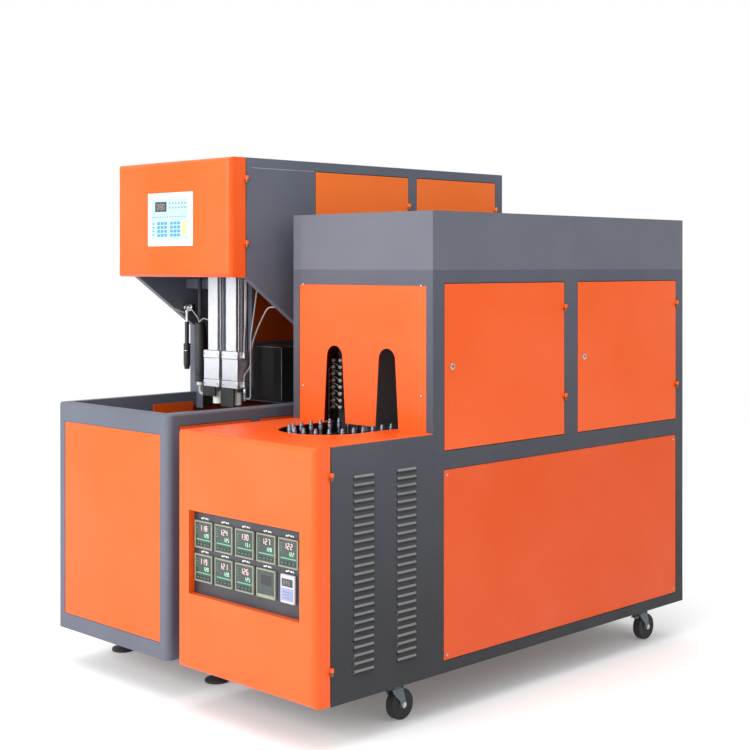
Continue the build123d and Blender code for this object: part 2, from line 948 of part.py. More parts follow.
def reflectors():
    """Bright sheets facing the lamps across each strand, and behind the lamps."""
    y0 = front + lamp_front_setback + holder_depth + 4
    y1 = y0 + lamp_length - 8
    units = []
    for side in (-1, 1):
        inner = chain_radius - reflector_offset
        outer = chain_radius + lamp_offset + holder_width / 2
        for reach in (inner, outer):
            units.append(side_plate(chain_x + side * reach, side, y0, y1, shelf_top, reflector_top, sheet))
    return group(units)


def caster_fork(x, y):
    """Swivel head and fork of a caster, with its axle bolt."""
    plate_z = heater_base
    wheel_y = y + caster_trail
    inside = caster_wheel_width / 2 + caster_side_gap
    outside = inside + caster_fork_sheet
    crown_z = 2 * caster_wheel_radius + caster_crown_gap
    head = post(x, y, crown_z + caster_fork_sheet, plate_z, caster_head_radius)
    leg_back = wheel_y + caster_leg_half
    crown = block(
        x - outside, x + outside, y - caster_head_radius, leg_back, crown_z, crown_z + caster_fork_sheet
    )
    cheeks = []
    for side in (-1, 1):
        x0 = x + side * inside
        outline = Polyline(
            (x0, y - caster_head_radius, crown_z),
            (x0, leg_back, crown_z),
            (x0, leg_back, caster_wheel_radius - caster_leg_half),
            (x0, wheel_y - caster_leg_half, caster_wheel_radius - caster_leg_half),
            close=True,
        )
        cheeks.append(extrude(make_face(outline), caster_fork_sheet, dir=(side, 0, 0)))
    axle = bar_x(x - outside - 4, x + outside + 4, wheel_y, caster_wheel_radius, caster_axle_radius)
    return joined([head, crown, *cheeks, axle])


def caster_wheel(x, y):
    """Solid tyre on its hub, turning on the axle."""
    half = caster_wheel_width / 2
    wheel_y = y + caster_trail
    tyre = bar_x(x - half, x + half, wheel_y, caster_wheel_radius, caster_wheel_radius)
    tyre = chamfer(tyre.edges().filter_by(GeomType.CIRCLE), 5)
    bore = bar_x(x - half, x + half, wheel_y, caster_wheel_radius, caster_axle_radius + slide_clearance)
    return tyre - bore


def table_frame():
    """Welded table of the blower cabinet: tube walls, rear top, valve shelf and clamp bed."""
    body = block(blower_left, blower_right, blower_front, blower_back, table_base, table_height)
    upright = body.edges().filter_by(Axis.Z).group_by(Axis.Y)[0]
    body = fillet(upright, table_corner)
    rim = body.edges().group_by(Axis.Z)[-1]
    body = fillet(rim, table_corner / 3)
    inside = block(
        blower_left + tube, blower_right - tube, blower_front + tube, blower_back - tube,
        table_base, table_height,
    )
    body = body - inside
    body = body - front_panel_pocket()
    for outer_x, inward in ((blower_left, 1), (blower_right, -1)):
        for y0, y1 in table_side_bays():
            body = body - panel_pocket(
                outer_x, inward, y0, y1, table_base + table_panel_bottom,
                table_height - tube, panel_recess, tube,
            )
    top = block(
        blower_left + tube, blower_right - tube, front + table_top_setback, blower_back - tube,
        table_top - plate, table_top,
    )
    shelf_y = front + valve_box_setback - valve_shelf_margin
    shelf = block(
        blower_left + tube, blower_right - tube,
        shelf_y, shelf_y + valve_box_depth + 2 * valve_shelf_margin, valve_shelf - plate, valve_shelf,
    )
    bed = block(
        blower_left + tube, blower_right - tube, blower_front + tube, blower_back - tube,
        clamp_bed_height - clamp_bed_thickness, clamp_bed_height,
    )
    pads = []
    for x, y in foot_places():
        pads.append(block(x - tube, x + tube, y - tube, y + tube, table_base, table_base + plate))
    return joined([body, top, shelf, bed, *pads]) - [
        post(x, y, table_base, table_base + plate, foot_stud_radius + slide_clearance)
        for x, y in foot_places()
    ]


def table_side_bays():
    """Lengthwise extents of the side covers of the table."""
    starts = [blower_front + table_panel_left]
    ends = []
    for setback in table_posts:
        ends.append(front + setback - tube / 2)
        starts.append(front + setback + tube / 2)
    ends.append(blower_back - table_panel_right)
    return list(zip(starts, ends))


def front_panel_extent():
    """Edges of the front cover's rebate."""
    return (
        blower_left + table_panel_left, blower_right - table_panel_right,
        table_base + table_panel_bottom, table_height - table_panel_top,
    )


def front_panel_pocket():
    """Rebate and hole for the front cover of the table."""
    x0, x1, z0, z1 = front_panel_extent()
    rebate = block(x0, x1, blower_front, blower_front + panel_recess, z0, z1)
    hole = block(
        x0 + door_lip, x1 - door_lip, blower_front, blower_front + tube, z0 + door_lip, z1 - door_lip
    )
    return rebate + hole


def table_front_panel():
    """Front cover of the table."""
    x0, x1, z0, z1 = front_panel_extent()
    y1 = blower_front + panel_recess
    return block(
        x0 + panel_gap, x1 - panel_gap, y1 - sheet, y1, z0 + panel_gap, z1 - panel_gap
    )


def table_side_panels():
    """Side covers of the table, and the guard inside its left wall."""
    covers = []
    for outer_x, inward in ((blower_left, 1), (blower_right, -1)):
        for y0, y1 in table_side_bays():
            covers.append(
                side_panel(outer_x, inward, y0, y1, table_base + table_panel_bottom, table_height - tube)
            )
    covers.append(
        side_plate(
            blower_left + tube, 1, front + inner_guard_start, front + inner_guard_end,
            clamp_bed_height, table_height - inner_guard_drop, sheet,
        )
    )
    return covers


def foot_places():
    """Centres of the levelling feet."""
    places = []
    for x in (blower_left + foot_inset, blower_right - foot_inset):
        for setback in (foot_front_setback, foot_rear_setback):
            places.append((x, front + setback))
    return places


def levelling_feet():
    """Rubber pads with a stud up into the table frame."""
    units = []
    for x, y in foot_places():
        pad = post(x, y, 0, foot_thickness, foot_radius)
        pad = chamfer(pad.edges().group_by(Axis.Z)[-1], foot_thickness / 2, foot_radius / 2)
        stud = post(x, y, foot_thickness, table_base + tube, foot_stud_radius)
        nut = prism(x, y, table_base - foot_nut_height, table_base, foot_nut_radius, 6)
        units.append(pad + stud + nut)
    return group(units)


def access_bays():
    """Lengthwise extents of the doors in the upper housing."""
    y0 = front + access_front_setback
    y2 = y0 + access_length + access_post
    return [(y0, y0 + access_length), (y2, y2 + access_length - access_post / 3)]


def upper_housing():
    """Sheet housing above the table: two side frames, top, back, head floor and bulkhead."""
    pieces = []
    for outer_x, inward in ((blower_left, 1), (blower_right, -1)):
        outline = Polyline(
            (outer_x, head_y, head_bottom),
            (outer_x, column_y, gusset_foot_height),
            (outer_x, column_y, table_height),
            (outer_x, blower_back, table_height),
            (outer_x, blower_back, blower_height),
            (outer_x, head_y, blower_height),
            close=True,
        )
        side = extrude(make_face(outline), housing_side, dir=(inward, 0, 0))
        for y0, y1 in access_bays():
            depth = door_leaf_depth + seat_clearance
            side = side - panel_pocket(
                outer_x, inward, y0, y1, access_bottom, access_top, depth, housing_side
            )
        pieces.append(side)
    flange_y = column_y + plate
    pieces.append(
        side_plate(blower_left, 1, column_y, flange_y, table_height, gusset_foot_height, column_flange)
    )
    pieces.append(
        side_plate(
            blower_left + tube, 1, column_y, flange_y, table_top - plate, table_height,
            column_flange - tube,
        )
    )
    x0 = blower_left + housing_side
    x1 = blower_right - housing_side
    pieces.append(block(x0, x1, head_y, blower_back, blower_height - plate, blower_height))
    pieces.append(block(x0, x1, blower_back - plate, blower_back, table_height, blower_height - plate))
    pieces.append(block(x0, x1, head_y, column_y, head_bottom, head_bottom + plate))
    pieces.append(block(x0, x1, bulkhead_y, bulkhead_y + plate, head_bottom + plate, blower_height - plate))
    housing = joined(pieces)
    half = cylinder_side / 2 + seat_clearance
    for x in cavity_xs:
        housing = housing - block(
            x - half, x + half, blow_y - half, blow_y + half, head_bottom, head_bottom + plate
        )
    return housing


def head_door():
    """Deep door of the control head with rounded front edges."""
    y0 = front + head_front_setback
    door = block(blower_left, blower_right, y0, head_door_back, head_bottom, blower_height)
    upright = door.edges().filter_by(Axis.Z).group_by(Axis.Y)[0]
    level = door.edges().filter_by(Axis.X).group_by(Axis.Y)[0]
    door = fillet([*upright, *level], front_door_corner)
    hollow = block(
        blower_left + sheet, blower_right - sheet, y0 + front_door_corner, head_door_back,
        head_bottom + sheet, blower_height - sheet,
    )
    uppers = [hinge_upper(*place) for place in head_hinges]
    return joined([door - hollow, *uppers])


def membrane_keypad():
    """Thin keypad stuck on the head door."""
    x0 = blower_left + keypad_left_inset
    y1 = front + head_front_setback
    return block(
        x0, x0 + keypad_width, y1 - keypad_thickness, y1, keypad_bottom, keypad_bottom + keypad_height
    )


def access_door(outer_x, inward, y0, y1):
    """Door leaf of the upper housing with the upper halves of its hinges."""
    leaf = side_leaf(outer_x, inward, y0, y1, access_bottom, access_top)
    uppers = [hinge_upper(*place, inward) for place in access_hinges(outer_x, inward, y1)]
    return joined([leaf, *uppers])


def access_hinges(outer_x, inward, y1):
    """Places of the hinges on the rear edge of a door of the upper housing."""
    x = outer_x - inward * hinge_reach
    return [(x, y1, access_top - access_hinge_inset), (x, y1, access_bottom + access_hinge_inset)]


def door_hinges():
    """Fixed halves of all the hinges."""
    units = []
    for place in (*front_door_hinges, *head_hinges):
        units.append(hinge_lower(*place))
    for y0 in (front_opening_y, rear_opening_y):
        for y, z in oven_hinges(y0):
            units.append(hinge_lower(heater_right + hinge_reach, y, z))
    for y0, y1 in access_bays():
        for outer_x, inward in ((blower_right, -1), (blower_left, 1)):
            for place in access_hinges(outer_x, inward, y1):
                units.append(hinge_lower(*place, inward))
    return group(units)


def cylinder_beam():
    """Cross tube between the side frames and the plate that carries the stretch heads."""
    y0 = block_back_y
    x0 = blower_left + housing_side
    x1 = blower_right - housing_side
    half = cavity_pitch / 2 + seal_block_width / 2
    tube_front = y0 + beam_plate
    tube_shape = block(x0, x1, tube_front, tube_front + beam_tube, beam_height, beam_height + beam_tube)
    face = block(blower_x - half, blower_x + half, y0, y0 + beam_plate, seal_block_bottom, head_bottom)
    return tube_shape + face


def stretch_cylinders():
    """Grooved cylinder tubes with the seal blocks under them, bored for rod and nozzle."""
    units = []
    half = cylinder_side / 2
    half_groove = cylinder_groove / 2
    for x in cavity_xs:
        profile = block(x - half, x + half, blow_y - half, blow_y + half, cylinder_bottom, cylinder_top)
        for side in (-1, 1):
            profile = profile - side_plate(
                x + side * half, -side, blow_y - half_groove, blow_y + half_groove,
                cylinder_bottom, cylinder_top, cylinder_groove_depth,
            )
        bore_bottom = cylinder_bottom + cylinder_end_wall
        cylinder_bore = post(
            x, blow_y, bore_bottom, cylinder_top - cylinder_end_wall, cylinder_bore_radius
        )
        tube_bore = post(x, blow_y, seal_block_bottom, seal_tube_top + 2, seal_tube_radius + slide_clearance)
        rod_bore = post(x, blow_y, seal_tube_top, bore_bottom, stretch_rod_radius + slide_clearance)
        units.append(joined([profile, *seal_block(x)]) - [cylinder_bore, tube_bore, rod_bore])
    return group(units)


def seal_block(x):
    """Compact cylinder of a seal head: two end caps with a slightly narrower body between."""
    half = seal_block_width / 2
    low = seal_block_bottom + seal_cap_height
    high = cylinder_bottom - seal_cap_height
    waist = half - seal_waist
    return [
        block(x - half, x + half, block_front_y, block_back_y, seal_block_bottom, low),
        block(x - waist, x + waist, block_front_y + seal_waist, block_back_y, low, high),
        block(x - half, x + half, block_front_y, block_back_y, high, cylinder_bottom),
    ]


def seal_guards():
    """Black guards under the seal blocks, in front of the nozzles."""
    units = []
    for x, height in zip(cavity_xs, guard_heights):
        x0 = x - guard_left_edge
        z0 = seal_block_bottom - height
        units.append(
            block(x0, x0 + guard_width, block_front_y, block_front_y + guard_depth, z0, seal_block_bottom)
        )
    return group(units)


def stretch_rod(x):
    """Stretch rod with its piston."""
    rod_bottom = nozzle_bottom + rod_above_nozzle
    rod = post(x, blow_y, rod_bottom, piston_top - piston_thickness, stretch_rod_radius)
    piston_radius = cylinder_bore_radius - slide_clearance
    piston = post(x, blow_y, piston_top - piston_thickness, piston_top, piston_radius)
    return rod + piston


def seal_nozzle(x):
    """Nozzle that comes down on the neck of the preform, on a tube that slides in its block."""
    body = post(x, blow_y, nozzle_bottom, nozzle_top, nozzle_radius)
    stem = post(x, blow_y, nozzle_top, seal_tube_top, seal_tube_radius)
    bore = post(x, blow_y, nozzle_bottom, seal_tube_top, stretch_rod_radius + slide_clearance)
    return body + stem - bore


def silencer_axis():
    """Line on which the silencer hangs."""
    return blower_x - silencer_offset, blow_y + silencer_behind


def blow_pipe_axis():
    """Line on which the thick blow pipe hangs."""
    return blower_x - blow_pipe_offset, blow_y + blow_pipe_behind


def blow_valve():
    """Valve on the left side sheet with its stub, and the fittings of the seal heads."""
    x, y = silencer_axis()
    pipe_x, pipe_y = blow_pipe_axis()
    z0 = table_height + valve_above_table
    wall_x = blower_left + housing_side
    half = fitting_size / 2
    body = block(
        wall_x, wall_x + valve_reach, y - valve_depth / 2, y + valve_depth / 2, z0, z0 + valve_height
    )
    stub = post(x, y, z0 - silencer_stub_length, z0, silencer_stub_radius)
    pipe_z = table_height + blow_pipe_above_table
    pieces = [body + stub, post(pipe_x, pipe_y, pipe_z - fitting_size, pipe_z, blow_fitting_radius)]
    for port_x, port_y in (left_port(), right_port()):
        pieces.append(
            block(
                port_x - half, port_x + half, port_y - half, port_y + half,
                nozzle_bottom + fitting_size, seal_block_bottom,
            )
        )
    for port_y, port_z in side_ports():
        side_x = cavity_xs[1] + seal_block_width / 2
        pieces.append(
            block(
                side_x, side_x + fitting_size, port_y - half, port_y + half,
                port_z - fitting_height, port_z,
            )
        )
    return pieces


def left_port():
    """Fitting hung beside the left nozzle, in line with the blow pipe."""
    return cavity_xs[0] - nozzle_radius - fitting_size, blow_pipe_axis()[1]


def right_port():
    """Fitting hung beside the right nozzle."""
    return cavity_xs[1] + nozzle_radius + fitting_size, blow_y + fitting_size * 0.7


def side_ports():
    """Fittings on the right face of the right seal block, on its two end caps."""
    low = seal_block_bottom + seal_cap_height - 1
    high = cylinder_bottom - 1
    return [(blow_y - fitting_size / 2, high), (blow_y - fitting_size / 2, low)]


def blow_pipe_and_silencer():
    """Thick blow pipe hung from the head, and the silencer hung from its valve."""
    x, y = silencer_axis()
    pipe_x, pipe_y = blow_pipe_axis()
    z0 = table_height + silencer_above_table
    z1 = z0 + silencer_length
    hose_top = table_height + valve_above_table - silencer_stub_length
    barrel = post(x, y, z0 + silencer_taper, z1, silencer_radius)
    nose = Pos(x, y, z0 + silencer_taper / 2) * Cone(silencer_radius * 0.7, silencer_radius, silencer_taper)
    drop = post(x, y, z1, hose_top, silencer_hose_radius)
    pipe_z = table_height + blow_pipe_above_table
    pipe = post(pipe_x, pipe_y, pipe_z, pipe_z + blow_pipe_length, blow_pipe_radius)
    hose = prism(pipe_x, pipe_y, pipe_z + blow_pipe_length, head_bottom, blow_hose_radius, 8)
    return [barrel + nose + drop, pipe + hose]


def tube_along(points, bend, radius):
    """A round tube along straight runs joined by tangent arcs."""
    path = FilletPolyline(*points, radius=bend)
    section = Plane(origin=path @ 0, z_dir=path % 0) * Circle(radius)
    return sweep(section, path=path)


def air_lines():
    """Clear hoses of the right seal head, and the elbow hose of the left nozzle."""
    (high_y, high_z), (low_y, low_z) = side_ports()
    side_x = cavity_xs[1] + seal_block_width / 2 + fitting_size / 2
    port_x, port_y = right_port()
    wall_x = blower_right - housing_side
    port_z = nozzle_bottom + fitting_size * hose_port_drop
    reach = fitting_size / 2
    hang_x = side_x + 4
    drop_x = side_x + hose_drop_offset
    bundle_x = side_x + 5
    bundle_y = blow_y + hose_bundle_behind
    wall_y = blow_y - hose_wall_ahead
    wall_z = head_bottom - hose_wall_drop
    to_high_port = [
        (hang_x, high_y + 6, head_bottom), (hang_x, high_y + 6, head_bottom - 140),
        (side_x, high_y, high_z + 50), (side_x, high_y, high_z),
    ]
    to_nozzle = [
        (drop_x + 24, bundle_y + 6, head_bottom), (drop_x + 24, bundle_y + 6, head_bottom - 30),
        (drop_x, port_y, head_bottom - 230), (drop_x, port_y, port_z), (port_x + reach, port_y, port_z),
    ]
    from_wall = [
        (wall_x, wall_y, wall_z), (wall_x - 50, wall_y, wall_z),
        (side_x + 78, blow_y - 4, wall_z - 72), (bundle_x + 6, bundle_y, wall_z - 144),
        (bundle_x, bundle_y, low_z + 53), (side_x, low_y, low_z + 23), (side_x, low_y, low_z),
    ]
    pipe_x, pipe_y = blow_pipe_axis()
    left_x, left_y = left_port()
    foot_z = table_height + blow_pipe_above_table - fitting_size
    elbow = [(pipe_x, pipe_y, foot_z), (pipe_x, pipe_y, port_z), (left_x - reach, left_y, port_z)]
    high_bend, nozzle_bend, wall_bend, elbow_bend = hose_bends
    return group(
        [
            tube_along(to_high_port, high_bend, air_line_radius),
            tube_along(to_nozzle, nozzle_bend, air_line_radius),
            tube_along(from_wall, wall_bend, air_line_radius),
            tube_along(elbow, elbow_bend, elbow_line_radius),
        ]
    )


def valve_box():
    """Closed box of pneumatic valves on the rear top of the table."""
    x0 = blower_x - valve_box_left
    y0 = front + valve_box_setback
    return block(
        x0, x0 + valve_box_width, y0, y0 + valve_box_depth, valve_shelf, valve_shelf + valve_box_height
    )


def tie_bar_places():
    """Centres of the four tie bars."""
    places = []
    for side in (-1, 1):
        for z in (tie_bar_low, tie_bar_high):
            places.append((blower_x + side * tie_bar_spread / 2, z))
    return places


def clamp_plate(y0, thickness, height, clearance):
    """A clamp plate with four holes for the tie bars."""
    half = end_plate_width / 2
    body = block(
        blower_x - half, blower_x + half, y0, y0 + thickness, clamp_bed_height, clamp_bed_height + height
    )
    holes = [bar_y(x, y0, y0 + thickness, z, tie_bar_radius + clearance) for x, z in tie_bar_places()]
    return body - holes


def clamp_end_plates():
    """Fixed end plates of the clamp, standing on the bed."""
    return [
        clamp_plate(front + front_end_setback, end_plate_thickness, end_plate_height, slide_clearance),
        clamp_plate(front + rear_end_setback, end_plate_thickness, end_plate_height, slide_clearance),
    ]


def tie_bars():
    """Four bars between the end plates, on which the platens slide."""
    y0 = front + front_end_setback
    y1 = front + rear_end_setback + end_plate_thickness
    return group([bar_y(x, y0, y1, z, tie_bar_radius) for x, z in tie_bar_places()])


def platen(side):
    """Moving platen with its piston rod. Side is -1 in front of the mould and 1 behind."""
    face_y = blow_y + side * mould_half_depth
    y0 = face_y if side > 0 else face_y - platen_thickness
    body = clamp_plate(y0, platen_thickness, end_plate_height, slide_clearance)
    body = body - block(
        blower_x - end_plate_width / 2, blower_x + end_plate_width / 2, y0, y0 + platen_thickness,
        clamp_bed_height, clamp_bed_height + seat_clearance,
    )
    back_y = face_y + side * platen_thickness
    mouth_y = clamp_mouth(side)
    end_y = mouth_y + side * clamp_rod_engagement
    rod = bar_y(blower_x, min(back_y, end_y), max(back_y, end_y), clamp_axis_z, clamp_rod_radius)
    return body + rod


def clamp_mouth(side):
    """Y of the open end of a clamp cylinder."""
    if side > 0:
        return front + rear_end_setback - clamp_cylinder_length
    return front + front_end_setback + end_plate_thickness + clamp_cylinder_length


def clamp_cylinders():
    """Cylinders on the end plates, bored for the rods."""
    units = []
    for side in (-1, 1):
        mouth = clamp_mouth(side)
        far = mouth + side * clamp_cylinder_length
        y0, y1 = min(mouth, far), max(mouth, far)
        depth = clamp_rod_engagement + clamp_stroke + 4
        b0, b1 = min(mouth, mouth + side * depth), max(mouth, mouth + side * depth)
        body = bar_y(blower_x, y0, y1, clamp_axis_z, clamp_cylinder_radius)
        bore = bar_y(blower_x, b0, b1, clamp_axis_z, clamp_rod_radius + slide_clearance)
        units.append(body - bore)
    return units


def mould_half(side):
    """Half of the two-bottle mould with its cavities open at the top."""
    y0 = min(blow_y, blow_y + side * mould_half_depth)
    y1 = max(blow_y, blow_y + side * mould_half_depth)
    body = block(blower_x - mould_width / 2, blower_x + mould_width / 2, y0, y1, mould_bottom, mould_top)
    foot_z = mould_bottom + mould_foot
    for x in cavity_xs:
        shoulder_z = foot_z + cavity_height
        profile = Polyline(
            (0, 0, foot_z), (cavity_radius, 0, foot_z), (cavity_radius, 0, shoulder_z),
            (cavity_neck_radius, 0, shoulder_z + cavity_shoulder), (cavity_neck_radius, 0, mould_top),
            (0, 0, mould_top), close=True,
        )
        body = body - Pos(x, blow_y, 0) * revolve(make_face(profile), Axis.Z)
    return body


def unit_ties():
    """Flat spacers between the rails and posts of the two cabinets, which bolt them together."""
    middle_post_y = front + table_posts[1]
    rear_post_y = blower_back - table_panel_right / 2
    upper_z = shelf_z + mid_rail / 2
    lower_z = heater_base + base_rail / 2
    units = []
    for y in (middle_post_y, rear_post_y):
        for z in (upper_z, lower_z):
            units.append(
                block(
                    blower_right, heater_left, y - tie_width / 2, y + tie_width / 2,
                    z - tie_thickness / 2, z + tie_thickness / 2,
                )
            )
    return group(units)


front_hinge_y = front + front_door_depth + front_door_gap / 2
head_hinge_y = head_door_back + head_door_gap / 2
front_door_hinges = [
    (heater_right + hinge_reach, front_hinge_y, deck_height - front_hinge_drop),
    (heater_right + hinge_reach, front_hinge_y, heater_base + front_hinge_rise),
]
head_hinges = [
    (blower_right + hinge_reach, head_hinge_y, blower_height - head_hinge_drop),
    (blower_right + hinge_reach, head_hinge_y, head_bottom + head_hinge_rise),
]

nodes["table_frame"] = table_frame()
nodes["table_panels"] = group([table_front_panel(), *table_side_panels()])
nodes["levelling_feet"] = levelling_feet()
nodes["upper_housing"] = upper_housing()
nodes["head_door"] = head_door()
nodes["membrane_keypad"] = membrane_keypad()
right_doors = [access_door(blower_right, -1, y0, y1) for y0, y1 in access_bays()]
nodes["right_access_panels"] = group(right_doors)
left_doors = [access_door(blower_left, 1, y0, y1) for y0, y1 in access_bays()]
nodes["left_access_door_front"] = left_doors[0]
nodes["left_access_door_rear"] = left_doors[1]
nodes["door_hinges"] = door_hinges()
nodes["cylinder_beam"] = cylinder_beam()
nodes["stretch_cylinders"] = stretch_cylinders()
nodes["seal_guards"] = seal_guards()
for name, x in zip(("left", "right"), cavity_xs):
    nodes["stretch_rod_" + name] = stretch_rod(x)
    nodes["seal_nozzle_" + name] = seal_nozzle(x)
nodes["blow_valve"] = group(blow_valve())
nodes["blow_pipe_and_silencer"] = group(blow_pipe_and_silencer())
nodes["air_lines"] = air_lines()
nodes["valve_box"] = valve_box()
clamp_ends = zip(clamp_end_plates(), clamp_cylinders())
nodes["clamp_ends"] = group([joined(pair) for pair in clamp_ends])
nodes["tie_bars"] = tie_bars()
nodes["front_platen"] = platen(-1)
nodes["rear_platen"] = platen(1)
nodes["mould_half_front"] = mould_half(-1)
nodes["mould_half_rear"] = mould_half(1)
nodes["unit_ties"] = unit_ties()
nodes["heater_frame"] = joined([heater_frame(), oven_front_frame()])
nodes["hood"] = hood()
nodes["oven_front_panel"] = oven_front_panel()
nodes["deck_plate"] = deck_plate()
nodes["front_section_covers"] = group(
    [louvre_panel(heater_right, -1, True), louvre_panel(heater_left, 1, False)]
)
nodes["fixed_side_panels"] = group(fixed_side_panels())
nodes["oven_door_front"] = oven_door(front_opening_y)
nodes["oven_door_rear"] = oven_door(rear_opening_y)
nodes["door_lock_front"] = door_lock(front_opening_y)
nodes["door_lock_rear"] = door_lock(rear_opening_y)
nodes["front_door"] = front_door()
nodes["instrument_plate"] = instrument_plate()
nodes["temperature_controllers"] = temperature_controllers()
nodes["timer_module"] = timer_module()
nodes["front_sprocket"] = sprocket(front_sprocket_y)
nodes["rear_sprocket"] = sprocket(rear_sprocket_y)
nodes["chain_links"] = chain_links()
nodes["mandrels"] = mandrels()
nodes["chain_track"] = group([chain_track(), idle_axle()])
nodes["gear_motor"] = gear_motor()
nodes["lamp_tubes"] = lamp_tubes()
nodes["lamp_holders"] = lamp_holders()
nodes["reflectors"] = reflectors()
caster_names = ("front_left", "rear_left", "front_right", "rear_right")
caster_index = 0
for x in (heater_left + caster_inset, heater_right - caster_inset):
    for setback in (caster_front_setback, caster_rear_setback):
        name = caster_names[caster_index]
        nodes["caster_fork_" + name] = caster_fork(x, front + setback)
        nodes["caster_wheel_" + name] = caster_wheel(x, front + setback)
        caster_index += 1

os.makedirs("parts", exist_ok=True)
for name, shape in nodes.items():
    export_step(shape, "parts/" + name + ".step")
print(len(nodes), "nodes")
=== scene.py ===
import itertools
import math

import bmesh
import bpy
from mathutils import Matrix, Vector


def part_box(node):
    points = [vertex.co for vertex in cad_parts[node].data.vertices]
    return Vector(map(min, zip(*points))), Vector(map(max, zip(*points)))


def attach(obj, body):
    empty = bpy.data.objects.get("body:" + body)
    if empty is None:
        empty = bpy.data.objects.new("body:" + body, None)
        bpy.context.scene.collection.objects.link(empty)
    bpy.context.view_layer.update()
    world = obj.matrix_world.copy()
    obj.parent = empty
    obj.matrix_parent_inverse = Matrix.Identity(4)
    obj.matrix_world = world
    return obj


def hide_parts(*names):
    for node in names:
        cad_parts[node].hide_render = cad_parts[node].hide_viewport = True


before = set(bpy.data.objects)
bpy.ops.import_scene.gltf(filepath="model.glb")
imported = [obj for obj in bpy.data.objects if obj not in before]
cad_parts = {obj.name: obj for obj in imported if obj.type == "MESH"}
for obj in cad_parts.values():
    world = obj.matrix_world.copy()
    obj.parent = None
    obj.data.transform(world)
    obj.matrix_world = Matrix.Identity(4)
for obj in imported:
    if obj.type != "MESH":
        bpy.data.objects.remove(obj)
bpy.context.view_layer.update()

# Sizes repeated from the solids, in millimetres
HEATER_RIGHT = 722.5
HEATER_LEFT = 47.5
BLOWER_RIGHT = -44.5
BLOWER_LEFT = -722.5
FRONT = -990.0
OVEN_FRONT = FRONT + 517
CHAIN_X = (HEATER_LEFT + HEATER_RIGHT) / 2
BLOWER_X = (BLOWER_LEFT + BLOWER_RIGHT) / 2
BLOW_Y = FRONT + 564
HOUSING_SIDE = 25.0
HEAD_BOTTOM = 1424.0
CHAIN_PITCH = 44.0
SPROCKET_TEETH = 18
STRAIGHT_LINKS = 32
CHAIN_RADIUS = CHAIN_PITCH / 2 / math.sin(math.pi / SPROCKET_TEETH)
FRONT_SPROCKET_Y = FRONT + 365
REAR_SPROCKET_Y = FRONT_SPROCKET_Y + STRAIGHT_LINKS * CHAIN_PITCH
CAVITY_SPACING = 110.0
CAVITY_X = (BLOWER_X - CAVITY_SPACING / 2, BLOWER_X + CAVITY_SPACING / 2)
SEAL_HEAD_BOTTOM = 1003.0
SEAL_HEAD_TOP = 1143.0
SIDE_PORT_X = CAVITY_X[1] + 55
SIDE_PORT_Y = BLOW_Y - 8
NOZZLE_PORT_Y = BLOW_Y + 11.2
NOZZLE_PORT_Z = 964.6
PIPE_X = BLOWER_X - 201
PIPE_Y = BLOW_Y + 26
PIPE_BOTTOM = 1012.0
SILENCER_X = BLOWER_X - 294
SILENCER_Y = BLOW_Y + 33
SILENCER_TOP = 1243.0
LAMP_PITCH = 23.7
LAMP_ROWS = 8
LAMP_X = CHAIN_RADIUS + 72
INSTRUMENT_SIZE = 90.0
INSTRUMENT_PITCH = 104.0
CONTROLLER_COUNT = 9
CASTER_TRAIL = 28.0
WHEEL_RADIUS = 50.0
LOUVRE_TOP = 824.0
LOUVRE_PITCH = 24.8
LOUVRE_ROWS = 25
LOUVRE_LENGTH = 84.0
LOUVRE_SETBACKS = (160, 350)


# Materials


class Nodes:
    """A material's node tree, with short ways to add and link nodes."""

    def __init__(self, name):
        self.material = bpy.data.materials.new(name)
        self.material.use_nodes = True
        self.tree = self.material.node_tree
        self.shader = self.tree.nodes["Principled BSDF"]

    def put(self, socket, value):
        """Sets the socket to a plain value, or links another node's output to it."""
        if isinstance(value, (int, float, tuple)):
            socket.default_value = value
        else:
            self.tree.links.new(value, socket)

    def add(self, kind, **settings):
        """A new node, with its settings and its inputs by name."""
        node = self.tree.nodes.new(kind)
        for key, value in settings.items():
            if hasattr(node, key):
                setattr(node, key, value)
            else:
                self.put(node.inputs[key.replace("_", " ")], value)
        return node

    def shade(self, **inputs):
        """Sets or links inputs of the shader by name."""
        for key, value in inputs.items():
            self.put(self.shader.inputs[key.replace("_", " ")], value)

    def coords(self):
        return self.add("ShaderNodeTexCoord").outputs["Object"]

    def noise(self, scale, detail=3.0, rough=0.5, vector=None):
        node = self.add("ShaderNodeTexNoise", Scale=scale, Detail=detail, Roughness=rough)
        self.put(node.inputs["Vector"], vector or self.coords())
        return node.outputs["Fac"]

    def remap(self, value, low, high, to_low=0.0, to_high=1.0):
        node = self.add("ShaderNodeMapRange", From_Min=low, From_Max=high, To_Min=to_low, To_Max=to_high)
        self.put(node.inputs["Value"], value)
        return node.outputs["Result"]

    def product(self, a, b):
        node = self.add("ShaderNodeMath", operation="MULTIPLY")
        self.put(node.inputs[0], a)
        self.put(node.inputs[1], b)
        return node.outputs[0]

    def mix(self, factor, a, b):
        return self.add("ShaderNodeMix", data_type="RGBA", Factor=factor, A=a, B=b).outputs["Result"]

    def bevel(self, radius):
        return self.add("ShaderNodeBevel", samples=4, Radius=radius).outputs["Normal"]

    def bump(self, height, strength, distance, normal=None):
        node = self.add("ShaderNodeBump", Strength=strength, Distance=distance, Height=height)
        if normal:
            self.put(node.inputs["Normal"], normal)
        return node.outputs["Normal"]


def rgb(red, green, blue):
    """A linear colour from three sRGB values of 0 to 255."""
    values = []
    for channel in (red, green, blue):
        c = channel / 255
        values.append(c / 12.92 if c <= 0.04045 else ((c + 0.055) / 1.055) ** 2.4)
    return (*values, 1.0)


def darker(colour, share):
    """The colour with a share of black in it."""
    return (*(channel * (1 - share) for channel in colour[:3]), 1.0)


def paler(colour, share):
    """The colour with a share of white in it."""
    return (*(channel * (1 - share) + share for channel in colour[:3]), 1.0)


